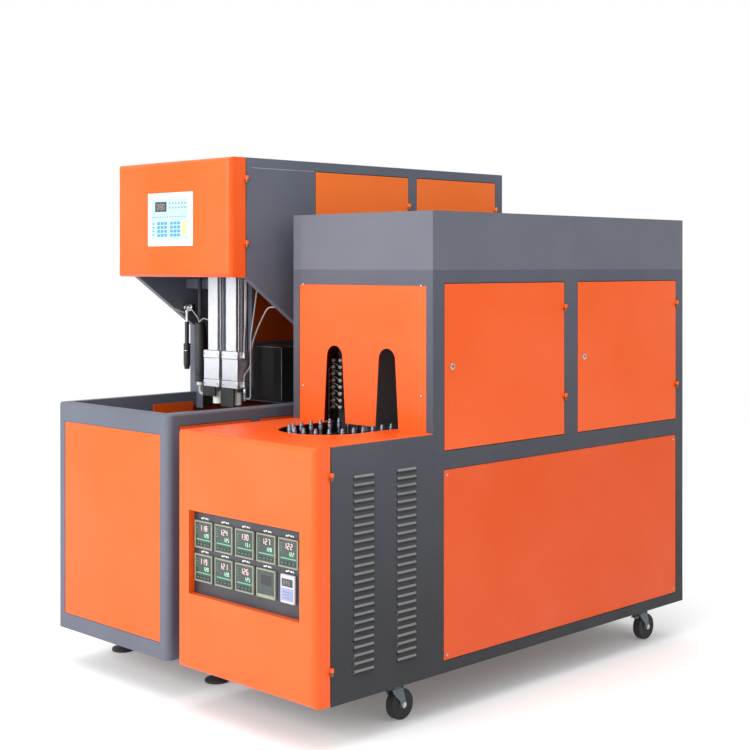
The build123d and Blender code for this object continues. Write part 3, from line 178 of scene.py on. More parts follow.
def powder_coat(
    name, colour, rough, grain_scale, grain, edge, edge_radius=0.0015, coat=0.0, low=None, fade=(0.3, 1.6)
):
    """Baked paint: soft uneven tone, fine orange peel, rounded and slightly paler edges.

    Where low is given, the paint turns to that colour downwards, between the two heights of fade, as painted
    shade.
    """
    n = Nodes(name)
    tone = n.mix(n.remap(n.noise(2.2, 4.0, 0.55), 0.3, 0.7), darker(colour, 0.045), paler(colour, 0.02))
    # Painted shade: darker towards the bottom.
    if low:
        height = n.add("ShaderNodeSeparateXYZ", Vector=n.coords()).outputs["Z"]
        tone = n.mix(n.remap(height, *fade), low, tone)
    rounded = n.bevel(edge_radius)
    dot = n.add("ShaderNodeVectorMath", operation="DOT_PRODUCT")
    n.put(dot.inputs[0], rounded)
    n.put(dot.inputs[1], n.add("ShaderNodeNewGeometry").outputs["Normal"])
    rim = n.remap(dot.outputs["Value"], 0.999, 0.9)
    rubbed = n.product(rim, n.remap(n.noise(60.0, 4.0, 0.6), 0.42, 0.62))
    n.shade(
        Base_Color=n.mix(n.product(rubbed, 0.55), tone, edge),
        Roughness=n.remap(n.noise(11.0, 5.0, 0.6), 0.3, 0.7, rough - 0.05, rough + 0.07),
        Specular_IOR_Level=0.2,
        Coat_Weight=coat,
        Coat_Roughness=0.16,
        Normal=n.bump(n.noise(grain_scale, 2.0, 0.5), grain, 0.0006, rounded),
    )
    return n.material


def metal(name, colour, rough, streak=None, edge_radius=0.0008, grain=0.08):
    """Bare metal, plain or brushed along one axis."""
    n = Nodes(name)
    vector = n.coords()
    if streak:
        vector = n.add("ShaderNodeMapping", Vector=vector, Scale=streak).outputs["Vector"]
    fine = n.noise(260.0, 3.0, 0.6, vector)
    n.shade(
        Metallic=1.0,
        Base_Color=n.mix(n.remap(n.noise(14.0, 3.0, 0.5), 0.3, 0.7), darker(colour, 0.14), colour),
        Roughness=n.remap(fine, 0.3, 0.7, rough - 0.06, rough + 0.08),
        Normal=n.bump(fine, grain, 0.0004, n.bevel(edge_radius)),
    )
    return n.material


def plastic(name, colour, rough, grain=0.1, scale=420.0, spread=0.06):
    """Moulded plastic or rubber with a fine grain."""
    n = Nodes(name)
    cloud = n.remap(n.noise(9.0, 4.0, 0.6), 0.3, 0.7)
    fine = n.noise(scale, 3.0, 0.6)
    n.shade(
        Base_Color=n.mix(cloud, darker(colour, spread), paler(colour, spread / 3)),
        Roughness=n.remap(fine, 0.3, 0.7, rough - 0.05, rough + 0.06),
        Normal=n.bump(fine, grain, 0.0005),
    )
    return n.material


def glow(name, colour, strength):
    """A lit digit under a dark window."""
    n = Nodes(name)
    n.shade(
        Base_Color=darker(colour, 0.4),
        Emission_Color=colour,
        Emission_Strength=strength,
        Roughness=n.remap(n.noise(300.0), 0.3, 0.7, 0.25, 0.4),
    )
    return n.material


ORANGE = powder_coat("orange_paint", rgb(236, 88, 2), 0.40, 240.0, 0.10, rgb(255, 170, 120), coat=0.18)
GREY = powder_coat("grey_paint", rgb(94, 99, 112), 0.50, 900.0, 0.22, rgb(150, 156, 166))
# Heater frame and covers turn darker towards the bottom: painted shade.
GREY_DARK = powder_coat(
    "dark_grey_paint", rgb(86, 89, 102), 0.52, 900.0, 0.22, rgb(120, 122, 126), low=rgb(52, 54, 57)
)
GREY_HOOD = powder_coat("grey_hood_paint", rgb(98, 101, 112), 0.50, 900.0, 0.22, rgb(150, 156, 166))
DARK_PLATE = plastic("dark_plate", rgb(38, 42, 50), 0.42, 0.12, 700.0)
CHROME = metal("bright_plating", rgb(205, 205, 208), 0.22)
ALUMINIUM = metal("anodised_profile", rgb(200, 202, 208), 0.38, (1.0, 1.0, 0.04))
STEEL = metal("ground_steel", rgb(176, 178, 182), 0.30, (1.0, 1.0, 0.1))
DARK_STEEL = metal("oiled_steel", rgb(98, 96, 94), 0.38)
CAST_ALU = metal("machined_aluminium", rgb(188, 190, 194), 0.36, (0.05, 1.0, 1.0))
BLACK = plastic("black_plastic", rgb(26, 27, 30), 0.48, 0.15)
RUBBER = plastic("black_rubber", rgb(34, 34, 36), 0.75, 0.35, 260.0)
WHITE = plastic("white_plastic", rgb(232, 235, 234), 0.35, 0.06)
CERAMIC = plastic("white_ceramic", rgb(226, 222, 214), 0.30, 0.08)
CLEAR = plastic("clear_hose_wall", rgb(158, 154, 152), 0.18, 0.04)
QUARTZ = plastic("frosted_quartz", rgb(214, 214, 218), 0.22, 0.05)
FORK = powder_coat("fork_paint", rgb(92, 112, 116), 0.42, 500.0, 0.15, rgb(170, 180, 182))
MOTOR = powder_coat("motor_paint", rgb(70, 82, 98), 0.45, 400.0, 0.2, rgb(140, 150, 160))

BEZEL = plastic("instrument_bezel", rgb(138, 142, 122), 0.4, 0.08)
WINDOW = plastic("dark_window", rgb(44, 60, 58), 0.2, 0.02)
PALE_BLUE = plastic("pale_blue_cover", rgb(140, 150, 184), 0.3, 0.05)
FILM_BLUE = plastic("pale_blue_film", rgb(170, 208, 224), 0.32, 0.05)
KEY_BLUE = plastic("blue_key", rgb(70, 138, 190), 0.35, 0.05)
KEY_YELLOW = plastic("yellow_key", rgb(222, 206, 120), 0.35, 0.05)
KEY_GREEN = plastic("green_key_strip", rgb(88, 176, 132), 0.35, 0.05)
MARK = plastic("white_print", rgb(220, 222, 222), 0.5, 0.05)
MARK_GREY = plastic("grey_print", rgb(120, 140, 152), 0.5, 0.05)
DIGIT_WARM = glow("warm_digit", rgb(255, 214, 206), 0.6)
DIGIT_GREEN = glow("green_digit", rgb(190, 246, 214), 0.8)
MANDREL = metal("turned_spindle_steel", rgb(128, 130, 142), 0.42, (0.2, 0.2, 6.0))
LEAD = plastic("lamp_lead", rgb(226, 222, 214), 0.5, 0.1)
BLUE_RING = plastic("blue_release_ring", rgb(60, 110, 170), 0.35, 0.08)
HUB_GREY = plastic("grey_hub", rgb(96, 98, 102), 0.45, 0.12)
BRAKE_GREY = powder_coat("brake_plate_paint", rgb(176, 182, 186), 0.4, 400.0, 0.1, rgb(220, 224, 226))
BRASS = metal("brass_insert", rgb(196, 164, 96), 0.3)
WHITE_CERAMIC = plastic("glazed_ceramic", rgb(250, 248, 240), 0.25, 0.04)
ELBOW = plastic("beige_elbow_hose", rgb(196, 188, 178), 0.35, 0.08)
# Near-white nozzles: painted light, standing in for the bright front light on the fittings beside the
# guards.
NOZZLE = plastic("nozzle_painted_light", rgb(238, 236, 226), 0.30, 0.05)
ZINC = metal("blue_zinc_links", rgb(150, 164, 172), 0.34)
BOX_DARK = powder_coat("valve_box_paint", rgb(40, 38, 40), 0.45, 500.0, 0.15, rgb(90, 92, 98))
# Pale strips along the valve box's lit edges: painted highlights.
EDGE_HIGHLIGHT = metal("painted_edge_highlight", rgb(196, 200, 206), 0.34)
REFLECTOR = powder_coat("satin_reflector", rgb(188, 184, 188), 0.5, 500.0, 0.1, rgb(170, 170, 174))
KEYPAD_WHITE = plastic("keypad_border", rgb(222, 226, 224), 0.35, 0.05)
DIM_DIGIT = glow("dim_digit", rgb(170, 150, 150), 0.12)
TUBE_WHITE = metal("bright_anodised_tube", rgb(224, 226, 232), 0.42, (1.0, 1.0, 0.04))
BLOCK_WHITE = metal("bright_anodised_block", rgb(226, 228, 233), 0.46)
# Pale strip on the sheet's fold: painted highlight.
SEAM_HIGHLIGHT = powder_coat("painted_seam_highlight", rgb(150, 152, 162), 0.42, 500.0, 0.1, rgb(200, 204, 210))
HINGE = metal("hinge_pin_steel", rgb(132, 96, 72), 0.42)
TIMER_CASE = plastic("timer_case", rgb(188, 190, 204), 0.35, 0.06)
# Louvre lips: a pale crest as painted highlight and a dark under-edge as painted shade.
LIP_HIGHLIGHT = powder_coat("lit_louvre_lip", rgb(128, 130, 130), 0.45, 500.0, 0.1, rgb(190, 194, 196))
LIP_SHADE = powder_coat("shaded_louvre_lip", rgb(34, 35, 38), 0.6, 500.0, 0.1, rgb(60, 62, 66))
# Brighter copy of the orange: painted light on the access panels' upper part; below 1.62 m it turns to dark
# maroon, painted shade, reached at 1.45 m.
ORANGE_LIT_AND_SHADED = powder_coat(
    "access_panel_painted_light_and_shade", rgb(255, 118, 30), 0.40, 240.0, 0.10, rgb(255, 190, 150),
    low=rgb(90, 46, 52), fade=(1.45, 1.62),
)
# Darker copy of the orange, with less coat, for the side panels: painted shade.
ORANGE_SHADED_SIDE = powder_coat(
    "side_panel_painted_shade", rgb(222, 78, 0), 0.42, 240.0, 0.10, rgb(255, 160, 110), coat=0.05
)

NODE_MATERIALS = (
    (GREY, "table_frame upper_housing cylinder_beam clamp_ends front_platen rear_platen unit_ties"),
    (GREY_DARK, "heater_frame front_section_covers"),
    (GREY_HOOD, "hood"),
    (ORANGE, "table_panels head_door left_access_door_front left_access_door_rear front_door"),
    (ORANGE, "oven_front_panel deck_plate oven_door_front oven_door_rear"),
    (ORANGE_LIT_AND_SHADED, "right_access_panels"),
    (ORANGE_SHADED_SIDE, "fixed_side_panels"),
    (WHITE, "membrane_keypad timer_module"),
    (BLACK, "seal_guards blow_pipe_and_silencer valve_box temperature_controllers"),
    (DARK_PLATE, "instrument_plate"),
    (STEEL, "stretch_rod_left stretch_rod_right tie_bars mandrels"),
    (DARK_STEEL, "front_sprocket rear_sprocket chain_links chain_track"),
    (CHROME, "blow_valve door_lock_front door_lock_rear"),
    (ALUMINIUM, "stretch_cylinders"),
    (CAST_ALU, "mould_half_front mould_half_rear"),
    (NOZZLE, "seal_nozzle_left seal_nozzle_right"),
    (HINGE, "door_hinges"),
    (CLEAR, "air_lines"),
    (MOTOR, "gear_motor"),
    (QUARTZ, "lamp_tubes"),
    (CERAMIC, "lamp_holders"),
    (REFLECTOR, "reflectors"),
    (RUBBER, "levelling_feet caster_wheel_front_left caster_wheel_front_right"),
    (RUBBER, "caster_wheel_rear_left caster_wheel_rear_right"),
    (FORK, "caster_fork_front_left caster_fork_front_right caster_fork_rear_left caster_fork_rear_right"),
)
for material, names in NODE_MATERIALS:
    for name in names.split():
        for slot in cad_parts[name].material_slots:
            slot.material = material


# Mesh pieces, written in millimetres in the same frame

SMOOTH_BELOW = 38.0


class Shape:
    """Collects the faces of one mesh piece. Its first material is the one used where none is named."""

    def __init__(self, *materials):
        self.mesh = bmesh.new()
        self.materials = materials
        self.turn = Matrix.Identity(4)

    def at(self, x=0.0, y=0.0, z=0.0, turn_z=0.0, turn_x=0.0, turn_y=0.0):
        """Places what is added next."""
        self.turn = (
            Matrix.Translation((x, y, z))
            @ Matrix.Rotation(math.radians(turn_z), 4, "Z")
            @ Matrix.Rotation(math.radians(turn_y), 4, "Y")
            @ Matrix.Rotation(math.radians(turn_x), 4, "X")
        )
        return self

    def point(self, x, y, z):
        return self.mesh.verts.new(self.turn @ Vector((x, y, z)))

    def face(self, points, material):
        made = self.mesh.faces.new(points)
        made.material_index = self.materials.index(material) if material else 0

    def box(self, x0, x1, y0, y1, z0, z1, cut=0.4, material=None):
        """A box with all its edges cut."""
        low = (x0, y0, z0)
        high = (x1, y1, z1)
        cut = min(cut, (x1 - x0) / 2.2, (y1 - y0) / 2.2, (z1 - z0) / 2.2)
        ends = {}
        for sign in itertools.product((-1, 1), repeat=3):
            for axis in range(3):
                place = [high[i] if sign[i] > 0 else low[i] for i in range(3)]
                for other in range(3):
                    if other != axis:
                        place[other] -= sign[other] * cut
                ends[sign, axis] = self.point(*place)
            self.face([ends[sign, 0], ends[sign, 1], ends[sign, 2]], material)
        for axis in range(3):
            first, second = (axis + 1) % 3, (axis + 2) % 3
            for side in (-1, 1):
                ring = []
                for a, b in ((-1, -1), (1, -1), (1, 1), (-1, 1)):
                    sign = [0, 0, 0]
                    sign[axis], sign[first], sign[second] = side, a, b
                    ring.append(ends[tuple(sign), axis])
                self.face(ring, material)
            for a, b in ((-1, -1), (1, -1), (1, 1), (-1, 1)):
                strip = []
                for side, kind in ((-1, first), (1, first), (1, second), (-1, second)):
                    sign = [0, 0, 0]
                    sign[axis], sign[first], sign[second] = side, a, b
                    strip.append(ends[tuple(sign), kind])
                self.face(strip, material)
        return self

    def lathe(self, profile, segments=16, material=None):
        """Turned about the local Z axis from (radius, height) pairs."""
        rings = []
        for radius, height in profile:
            if radius == 0:
                rings.append([self.point(0, 0, height)])
                continue
            ring = []
            for step in range(segments):
                angle = math.tau * step / segments
                ring.append(self.point(radius * math.cos(angle), radius * math.sin(angle), height))
            rings.append(ring)
        for ring in (rings[0], rings[-1]):
            if len(ring) > 1:
                self.face(ring, material)
        for low, high in zip(rings, rings[1:]):
            for step in range(segments):
                after = (step + 1) % segments
                corners = [low[step % len(low)]]
                if len(low) > 1:
                    corners.append(low[after])
                corners.append(high[after % len(high)])
                if len(high) > 1:
                    corners.append(high[step])
                if len(corners) > 2:
                    self.face(corners, material)
        return self

    def loft(self, rings, material):
        """Closes the first and last ring, and joins each ring to the next."""
        self.face(rings[0], material)
        self.face(rings[-1], material)
        count = len(rings[0])
        for low, high in zip(rings, rings[1:]):
            for step in range(count):
                after = (step + 1) % count
                self.face([low[step], low[after], high[after], high[step]], material)
        return self

    def prism(self, outline, z0, z1, material=None, cut=0.0):
        """An outline in the local XY plane, pulled from z0 to z1."""
        middle = Vector((sum(p[0] for p in outline), sum(p[1] for p in outline))) / len(outline)
        levels = [(z0, 0.0), (z1, 0.0)]
        if cut:
            levels = [(z0, cut), (z0 + cut, 0.0), (z1 - cut, 0.0), (z1, cut)]
        rings = []
        for height, inset in levels:
            ring = []
            for px, py in outline:
                away = Vector((px, py)) - middle
                length = max(away.length, 0.001)
                away *= (length - inset) / length
                ring.append(self.point(middle.x + away.x, middle.y + away.y, height))
            rings.append(ring)
        return self.loft(rings, material)

    def tube(self, points, radius, material=None, segments=10, bend=12.0, steps=6):
        """A round tube along straight runs with rounded corners."""
        path = rounded_path([Vector(p) for p in points], bend, steps)
        up = Vector((0, 0, 1))
        first = (path[1] - path[0]).normalized()
        if abs(first.dot(up)) > 0.9:
            up = Vector((1, 0, 0))
        rings = []
        for index, place in enumerate(path):
            before = path[max(index - 1, 0)]
            after = path[min(index + 1, len(path) - 1)]
            along = (after - before).normalized()
            side = along.cross(up).normalized()
            up = side.cross(along).normalized()
            ring = []
            for step in range(segments):
                angle = math.tau * step / segments
                offset = side * (radius * math.cos(angle)) + up * (radius * math.sin(angle))
                ring.append(self.point(*(place + offset)))
            rings.append(ring)
        return self.loft(rings, material)

    def finish(self, name, body, slot_name, *replaced):
        """Makes the object, which rides on its body and takes the place of the named CAD nodes."""
        bmesh.ops.recalc_face_normals(self.mesh, faces=self.mesh.faces)
        limit = math.radians(SMOOTH_BELOW)
        for edge in self.mesh.edges:
            edge.smooth = len(edge.link_faces) == 2 and edge.calc_face_angle(0.0) < limit
        for made in self.mesh.faces:
            made.smooth = True
        bmesh.ops.scale(self.mesh, vec=(0.001, 0.001, 0.001), verts=self.mesh.verts)
        data = bpy.data.meshes.new(name)
        self.mesh.to_mesh(data)
        self.mesh.free()
        for material in self.materials:
            data.materials.append(material)
        piece = bpy.data.objects.new(name, data)
        bpy.context.collection.objects.link(piece)
        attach(piece, body)
        for node in replaced:
            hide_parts(node)


def rounded_path(points, bend, steps):
    """The points with every corner replaced by a smooth curve."""
    path = [points[0]]
    for before, corner, after in zip(points, points[1:], points[2:]):
        back_way = before - corner
        on_way = after - corner
        reach = min(bend, back_way.length / 2, on_way.length / 2)
        start = corner + back_way.normalized() * reach
        end = corner + on_way.normalized() * reach
        for step in range(steps + 1):
            t = step / steps
            path.append(start * (1 - t) ** 2 + corner * 2 * t * (1 - t) + end * t * t)
    path.append(points[-1])
    return path


def hexagon(radius, first=0):
    """The corners of a nut, the first one at an angle in degrees."""
    angles = [math.radians(60 * index + first) for index in range(6)]
    return [(radius * math.cos(angle), radius * math.sin(angle)) for angle in angles]


def chain_points():
    """Places of the spindles, once round the loop."""
    steps = range(1, STRAIGHT_LINKS)
    right = [(CHAIN_X + CHAIN_RADIUS, FRONT_SPROCKET_Y + i * CHAIN_PITCH) for i in steps]
    left = [(CHAIN_X - CHAIN_RADIUS, FRONT_SPROCKET_Y + i * CHAIN_PITCH) for i in reversed(steps)]

    def arc(centre_y, first):
        found = []
        for index in range(SPROCKET_TEETH // 2 + 1):
            angle = math.radians(first + index * 360 / SPROCKET_TEETH)
            x = CHAIN_X + CHAIN_RADIUS * math.cos(angle)
            found.append((x, centre_y + CHAIN_RADIUS * math.sin(angle)))
        return found

    return arc(FRONT_SPROCKET_Y, 180) + right + arc(REAR_SPROCKET_Y, 0) + left


def cad(node):
    """Lowest and highest corner of a CAD node, in millimetres."""
    low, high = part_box(node)
    return [v * 1000 for v in low], [v * 1000 for v in high]


SEGMENTS = {
    "0": "abcdef", "1": "bc", "2": "abged", "3": "abgcd", "4": "fgbc",
    "5": "afgcd", "6": "afgedc", "7": "abc", "8": "abcdefg", "9": "abcdfg",
}


def digits(shape, number, x, z, height, y, material):
    """Seven-bar digits standing slightly proud of a face that looks along -Y."""
    width = height * 0.52
    bar = height * 0.13
    middle = z + height / 2
    top = z + height
    for place, digit in enumerate(number):
        x0 = x + place * width * 1.42
        x1 = x0 + width
        bars = {
            "a": (x0 + bar, x1 - bar, top - bar, top),
            "b": (x1 - bar, x1, middle, top - bar / 2),
            "c": (x1 - bar, x1, z + bar / 2, middle),
            "d": (x0 + bar, x1 - bar, z, z + bar),
            "e": (x0, x0 + bar, z + bar / 2, middle),
            "f": (x0, x0 + bar, middle, top - bar / 2),
            "g": (x0 + bar, x1 - bar, middle - bar / 2, middle + bar / 2),
        }
        for name in SEGMENTS[digit]:
            left, right, bottom, over = bars[name]
            shape.box(left, right, y - 0.35, y, bottom, over, 0.1, material)


def instrument_places():
    """Centres of the instruments, upper row first."""
    low, high = cad("temperature_controllers")
    xs = [low[0] + INSTRUMENT_SIZE / 2 + INSTRUMENT_PITCH * column for column in range(5)]
    zs = [high[2] - INSTRUMENT_SIZE / 2, low[2] + INSTRUMENT_SIZE / 2]
    return [(x, z) for z in zs for x in xs]


def controllers():
    """Square temperature controllers: bezel, dark window, digits, keys and lamps. The last is blank."""
    low, high = cad("temperature_controllers")
    front_y, back_y = low[1], high[1]
    face_y = front_y + 2.2
    half = INSTRUMENT_SIZE / 2
    rim = 5.0
    blank_rim = 11.0
    readings = (
        ("118", "120"), ("124", "125"), ("130", "131"), ("127", "128"), ("122", "122"),
        ("119", "120"), ("121", "120"), ("126", "125"), ("", ""),
    )
    shape = Shape(BEZEL, WINDOW, DIGIT_WARM, DIGIT_GREEN, KEY_GREEN, BLACK)
    for (x, z), (upper, lower) in zip(instrument_places(), readings):
        x0, x1, z0, z1 = x - half, x + half, z - half, z + half
        low_rim = rim if upper else blank_rim
        shape.box(x0, x0 + rim, front_y, back_y, z0, z1, 0.9, BEZEL)
        shape.box(x1 - rim, x1, front_y, back_y, z0, z1, 0.9, BEZEL)
        shape.box(x0 + rim, x1 - rim, front_y, back_y, z1 - rim, z1, 0.9, BEZEL)
        shape.box(x0 + rim, x1 - rim, front_y, back_y, z0, z0 + low_rim, 0.9, BEZEL)
        shape.box(x0 + 4, x1 - 4, face_y, back_y - 0.2, z0 + 4, z1 - 4, 0.2, WINDOW)
        shape.box(x0 + 8, x1 - 8, back_y, back_y + 0.51, z - 20, z + 20, 0.1, BLACK)
        if not upper:
            shape.box(x - 24, x + 24, face_y - 0.3, face_y, z - 4, z + 26, 0.1, BLACK)
            continue
        digits(shape, upper, x - 19, z + 12, 19, face_y, DIGIT_WARM)
        digits(shape, lower, x, z - 8, 13, face_y, DIGIT_GREEN)
        shape.box(x0 + 9, x1 - 9, face_y - 0.4, face_y, z - 18, z - 14.5, 0.15, KEY_GREEN)
        for step in range(4):
            key_x = x - 31 + 17 * step
            shape.box(key_x, key_x + 11, face_y - 1.2, face_y, z - 36, z - 25, 0.5, BLACK)
            shape.box(key_x + 3, key_x + 8, face_y - 1.4, face_y - 1.1, z - 31.5, z - 29.5, 0.1, KEY_GREEN)
        for step in range(4):
            lamp_z = z + 27 - 8 * step
            shape.box(x - 35, x - 32, face_y - 0.5, face_y, lamp_z, lamp_z + 3, 0.15, KEY_GREEN)
    shape.finish(
        "temperature_controller_faces", "front_door_group", "instrument_black", "temperature_controllers"
    )


def instrument_marks():
    """Plain marks printed on the plate over each instrument."""
    plate_y = cad("instrument_plate")[0][1]
    shape = Shape(MARK)
    for index, (x, z) in enumerate(instrument_places()):
        gap = 4.5 if index < CONTROLLER_COUNT else 5.0
        foot = z + INSTRUMENT_SIZE / 2 + gap
        for step, (length, rise) in enumerate(((9, 0), (6, 2.0), (8, 1.0), (5, 0.5))):
            x0 = x - 17 + step * 10.5
            shape.box(x0, x0 + length, plate_y - 0.3, plate_y, foot + rise, foot + rise + 5.0, 0.1)
    shape.finish("instrument_marks", "front_door_group", "timer_white")


def timer():
    """Upright counter: pale case, dark display with digits and a hinged cover below."""
    low, high = cad("timer_module")
    x0, front_y, z0 = low
    x1, back_y, z1 = high
    shape = Shape(TIMER_CASE, WINDOW, DIM_DIGIT, PALE_BLUE)
    shape.box(x0, x1, front_y + 1.5, back_y, z0, z1, 2.5, TIMER_CASE)
    shape.box(x0 + 8, x1 - 8, front_y + 0.8, front_y + 2, z1 - 36, z1 - 12, 0.5, WINDOW)
    digits(shape, "045", x0 + 16, z1 - 31, 14, front_y + 0.8, DIM_DIGIT)
    shape.box(x0 + 7, x1 - 7, front_y, front_y + 2, z0 + 9, z1 - 42, 1.0, PALE_BLUE)
    for step in range(3):
        line_z = z0 + 17 + step * 9
        shape.box(x0 + 13, x1 - 13, front_y, front_y + 0.4, line_z, line_z + 1.2, 0.1, TIMER_CASE)
    shape.finish("timer_face", "front_door_group", "timer_white", "timer_module")


def keypad():
    """Membrane keypad: pale film, display window, lamps, blue keys and one tall yellow key."""
    low, high = cad("membrane_keypad")
    x0, y0, z0 = low
    x1, y1, z1 = high
    width, height = x1 - x0, z1 - z0
    film_y = y0 + 0.5
    shape = Shape(KEYPAD_WHITE, FILM_BLUE, WINDOW, KEY_BLUE, KEY_YELLOW, MARK_GREY, DIM_DIGIT)

    def patch(left, right, top, bottom, raised, cut, material):
        """A raised field, between shares of the width from the left and of the height from the top."""
        shape.box(
            x0 + width * left, x0 + width * right, film_y - raised, y0 + 0.9,
            z1 - height * bottom, z1 - height * top, cut, material,
        )

    shape.box(x0, x1, film_y, y1, z0, z1, 0.3, KEYPAD_WHITE)
    patch(0.085, 0.905, 0.105, 0.885, 0.12, 0.05, FILM_BLUE)
    patch(0.165, 0.425, 0.165, 0.355, 0.3, 0.1, WINDOW)
    digits(shape, "080", x0 + width * 0.205, z1 - height * 0.32, height * 0.12, y0 + 0.2, DIM_DIGIT)
    for top in (0.185, 0.265):
        for column in range(6):
            left = 0.475 + 0.068 * column
            patch(left, left + 0.04, top, top + 0.035, 0.3, 0.1, MARK_GREY)
    for column in range(14):
        left = 0.10 + 0.055 * column
        patch(left, left + 0.036, 0.44, 0.465, 0.2, 0.05, MARK_GREY)
    for key_block in (0.215, 0.505):
        for row in range(4):
            for column in range(3):
                left = key_block + 0.078 * column
                top = 0.545 + 0.075 * row
                patch(left, left + 0.062, top, top + 0.055, 0.5, 0.3, KEY_BLUE)
    for row in range(4):
        top = 0.56 + 0.07 * row
        patch(0.105, 0.15, top, top + 0.03, 0.3, 0.1, KEY_BLUE)
    patch(0.765, 0.85, 0.53, 0.80, 0.5, 0.4, KEY_YELLOW)
    shape.finish("keypad_film", "head_door_group", "white_film", "membrane_keypad")


def spindles():
    """Turned spindles with a groove near each end and a stepped tip."""
    low, high = cad("mandrels")
    foot, tip = low[2], high[2]
    neck = tip - 14
    profile = (
        (0, foot), (7.0, foot), (8.0, foot + 1), (8.0, foot + 12), (6.6, foot + 13), (6.6, foot + 15),
        (8.0, foot + 16), (8.0, neck - 6), (7.2, neck - 5), (7.2, neck - 3), (8.0, neck - 2), (7.8, neck),
        (6.2, neck + 3), (5.8, neck + 8), (5.4, tip - 3.5), (4.4, tip - 1.2), (2.4, tip), (0, tip),
    )
    shape = Shape(MANDREL)
    for x, y in chain_points():
        shape.at(x, y, 0).lathe(profile, 12)
    shape.finish("turned_spindles", "machine", "mandrel_steel", "mandrels")


def link_plates():
    """Waisted link plates, in turn on the upper and on the lower level."""
    low, high = cad("chain_links")
    thickness = 3.0
    end_radius = 9.0
    waist = 6.4
    outline = []
    for end in (1, -1):
        for step in range(7):
            angle = math.radians(-90 + 30 * step)
            along = CHAIN_PITCH / 2 + end_radius * math.cos(angle)
            outline.append((end * along, end * end_radius * math.sin(angle)))
        outline.append((end * 8, end * waist))
    shape = Shape(ZINC)
    points = chain_points()
    for index, (x, y) in enumerate(points):
        next_x, next_y = points[(index + 1) % len(points)]
        heading = math.degrees(math.atan2(next_y - y, next_x - x))
        level = high[2] - thickness if index % 2 == 0 else low[2]
        shape.at((x + next_x) / 2, (y + next_y) / 2, 0, heading)
        shape.prism(outline, level, level + thickness, cut=0.4)
    shape.finish("riveted_link_plates", "machine", "chain_steel", "chain_links")


def slotted_profile(half, groove, depth):
    """Outline of a square cylinder tube with a slot and two fine lines in each side face."""
    side = [
        (half, -half + 2), (half, -half * 0.62), (half - 1.4, -half * 0.58), (half - 1.4, -half * 0.46),
        (half, -half * 0.42), (half, -groove / 2), (half - depth, -groove / 2), (half - depth, groove / 2),
        (half, groove / 2), (half, half * 0.42), (half - 1.4, half * 0.46), (half - 1.4, half * 0.58),
        (half, half * 0.62), (half, half - 2), (half - 2, half),
    ]
    opposite = [(-px, -py) for px, py in side[:-1]]
    return side + [(-half + 2, half)] + opposite + [(-half + 2, -half), (half - 2, -half)]


def stretch_units():
    """Slotted cylinder tubes with end caps, and the compact seal cylinders under them."""
    low, high = cad("stretch_cylinders")
    top = high[2]
    half = 28.0
    cap = 26.0
    block_half = (high[0] - low[0] - CAVITY_SPACING) / 2
    front_y, back_y = low[1] - BLOW_Y, high[1] - BLOW_Y
    lower_top = SEAL_HEAD_BOTTOM + 29
    upper_bottom = SEAL_HEAD_TOP - 30
    screw = ((0, 0), (3.2, 0), (3.2, 0.2), (1.8, 0.2), (1.8, -0.6), (0, -0.6))
    shape = Shape(TUBE_WHITE, BLOCK_WHITE, DARK_PLATE)
    for x in CAVITY_X:
        shape.at(x, BLOW_Y, 0).prism(slotted_profile(half, 8, 6), SEAL_HEAD_TOP, top - cap, TUBE_WHITE)
        shape.box(-half, half, -half, half, top - cap, top, 1.5, BLOCK_WHITE)
        shape.box(-block_half, block_half, front_y, back_y, SEAL_HEAD_BOTTOM, lower_top, 2.0, BLOCK_WHITE)
        shape.box(
            -block_half + 1.5, block_half - 1.5, front_y + 1.5, back_y,
            lower_top + 0.4, upper_bottom - 0.4, 1.0, TUBE_WHITE,
        )
        shape.box(-block_half, block_half, front_y, back_y, upper_bottom, SEAL_HEAD_TOP, 2.0, BLOCK_WHITE)
        for screw_x in (x - block_half + 9, x + block_half - 9):
            for screw_z in (SEAL_HEAD_BOTTOM + 13, SEAL_HEAD_TOP - 14):
                shape.at(screw_x, low[1] + 0.2, screw_z, turn_x=90).lathe(screw, 12, DARK_PLATE)
    shape.finish("slotted_stretch_cylinders", "machine", "silver_profile", "stretch_cylinders")


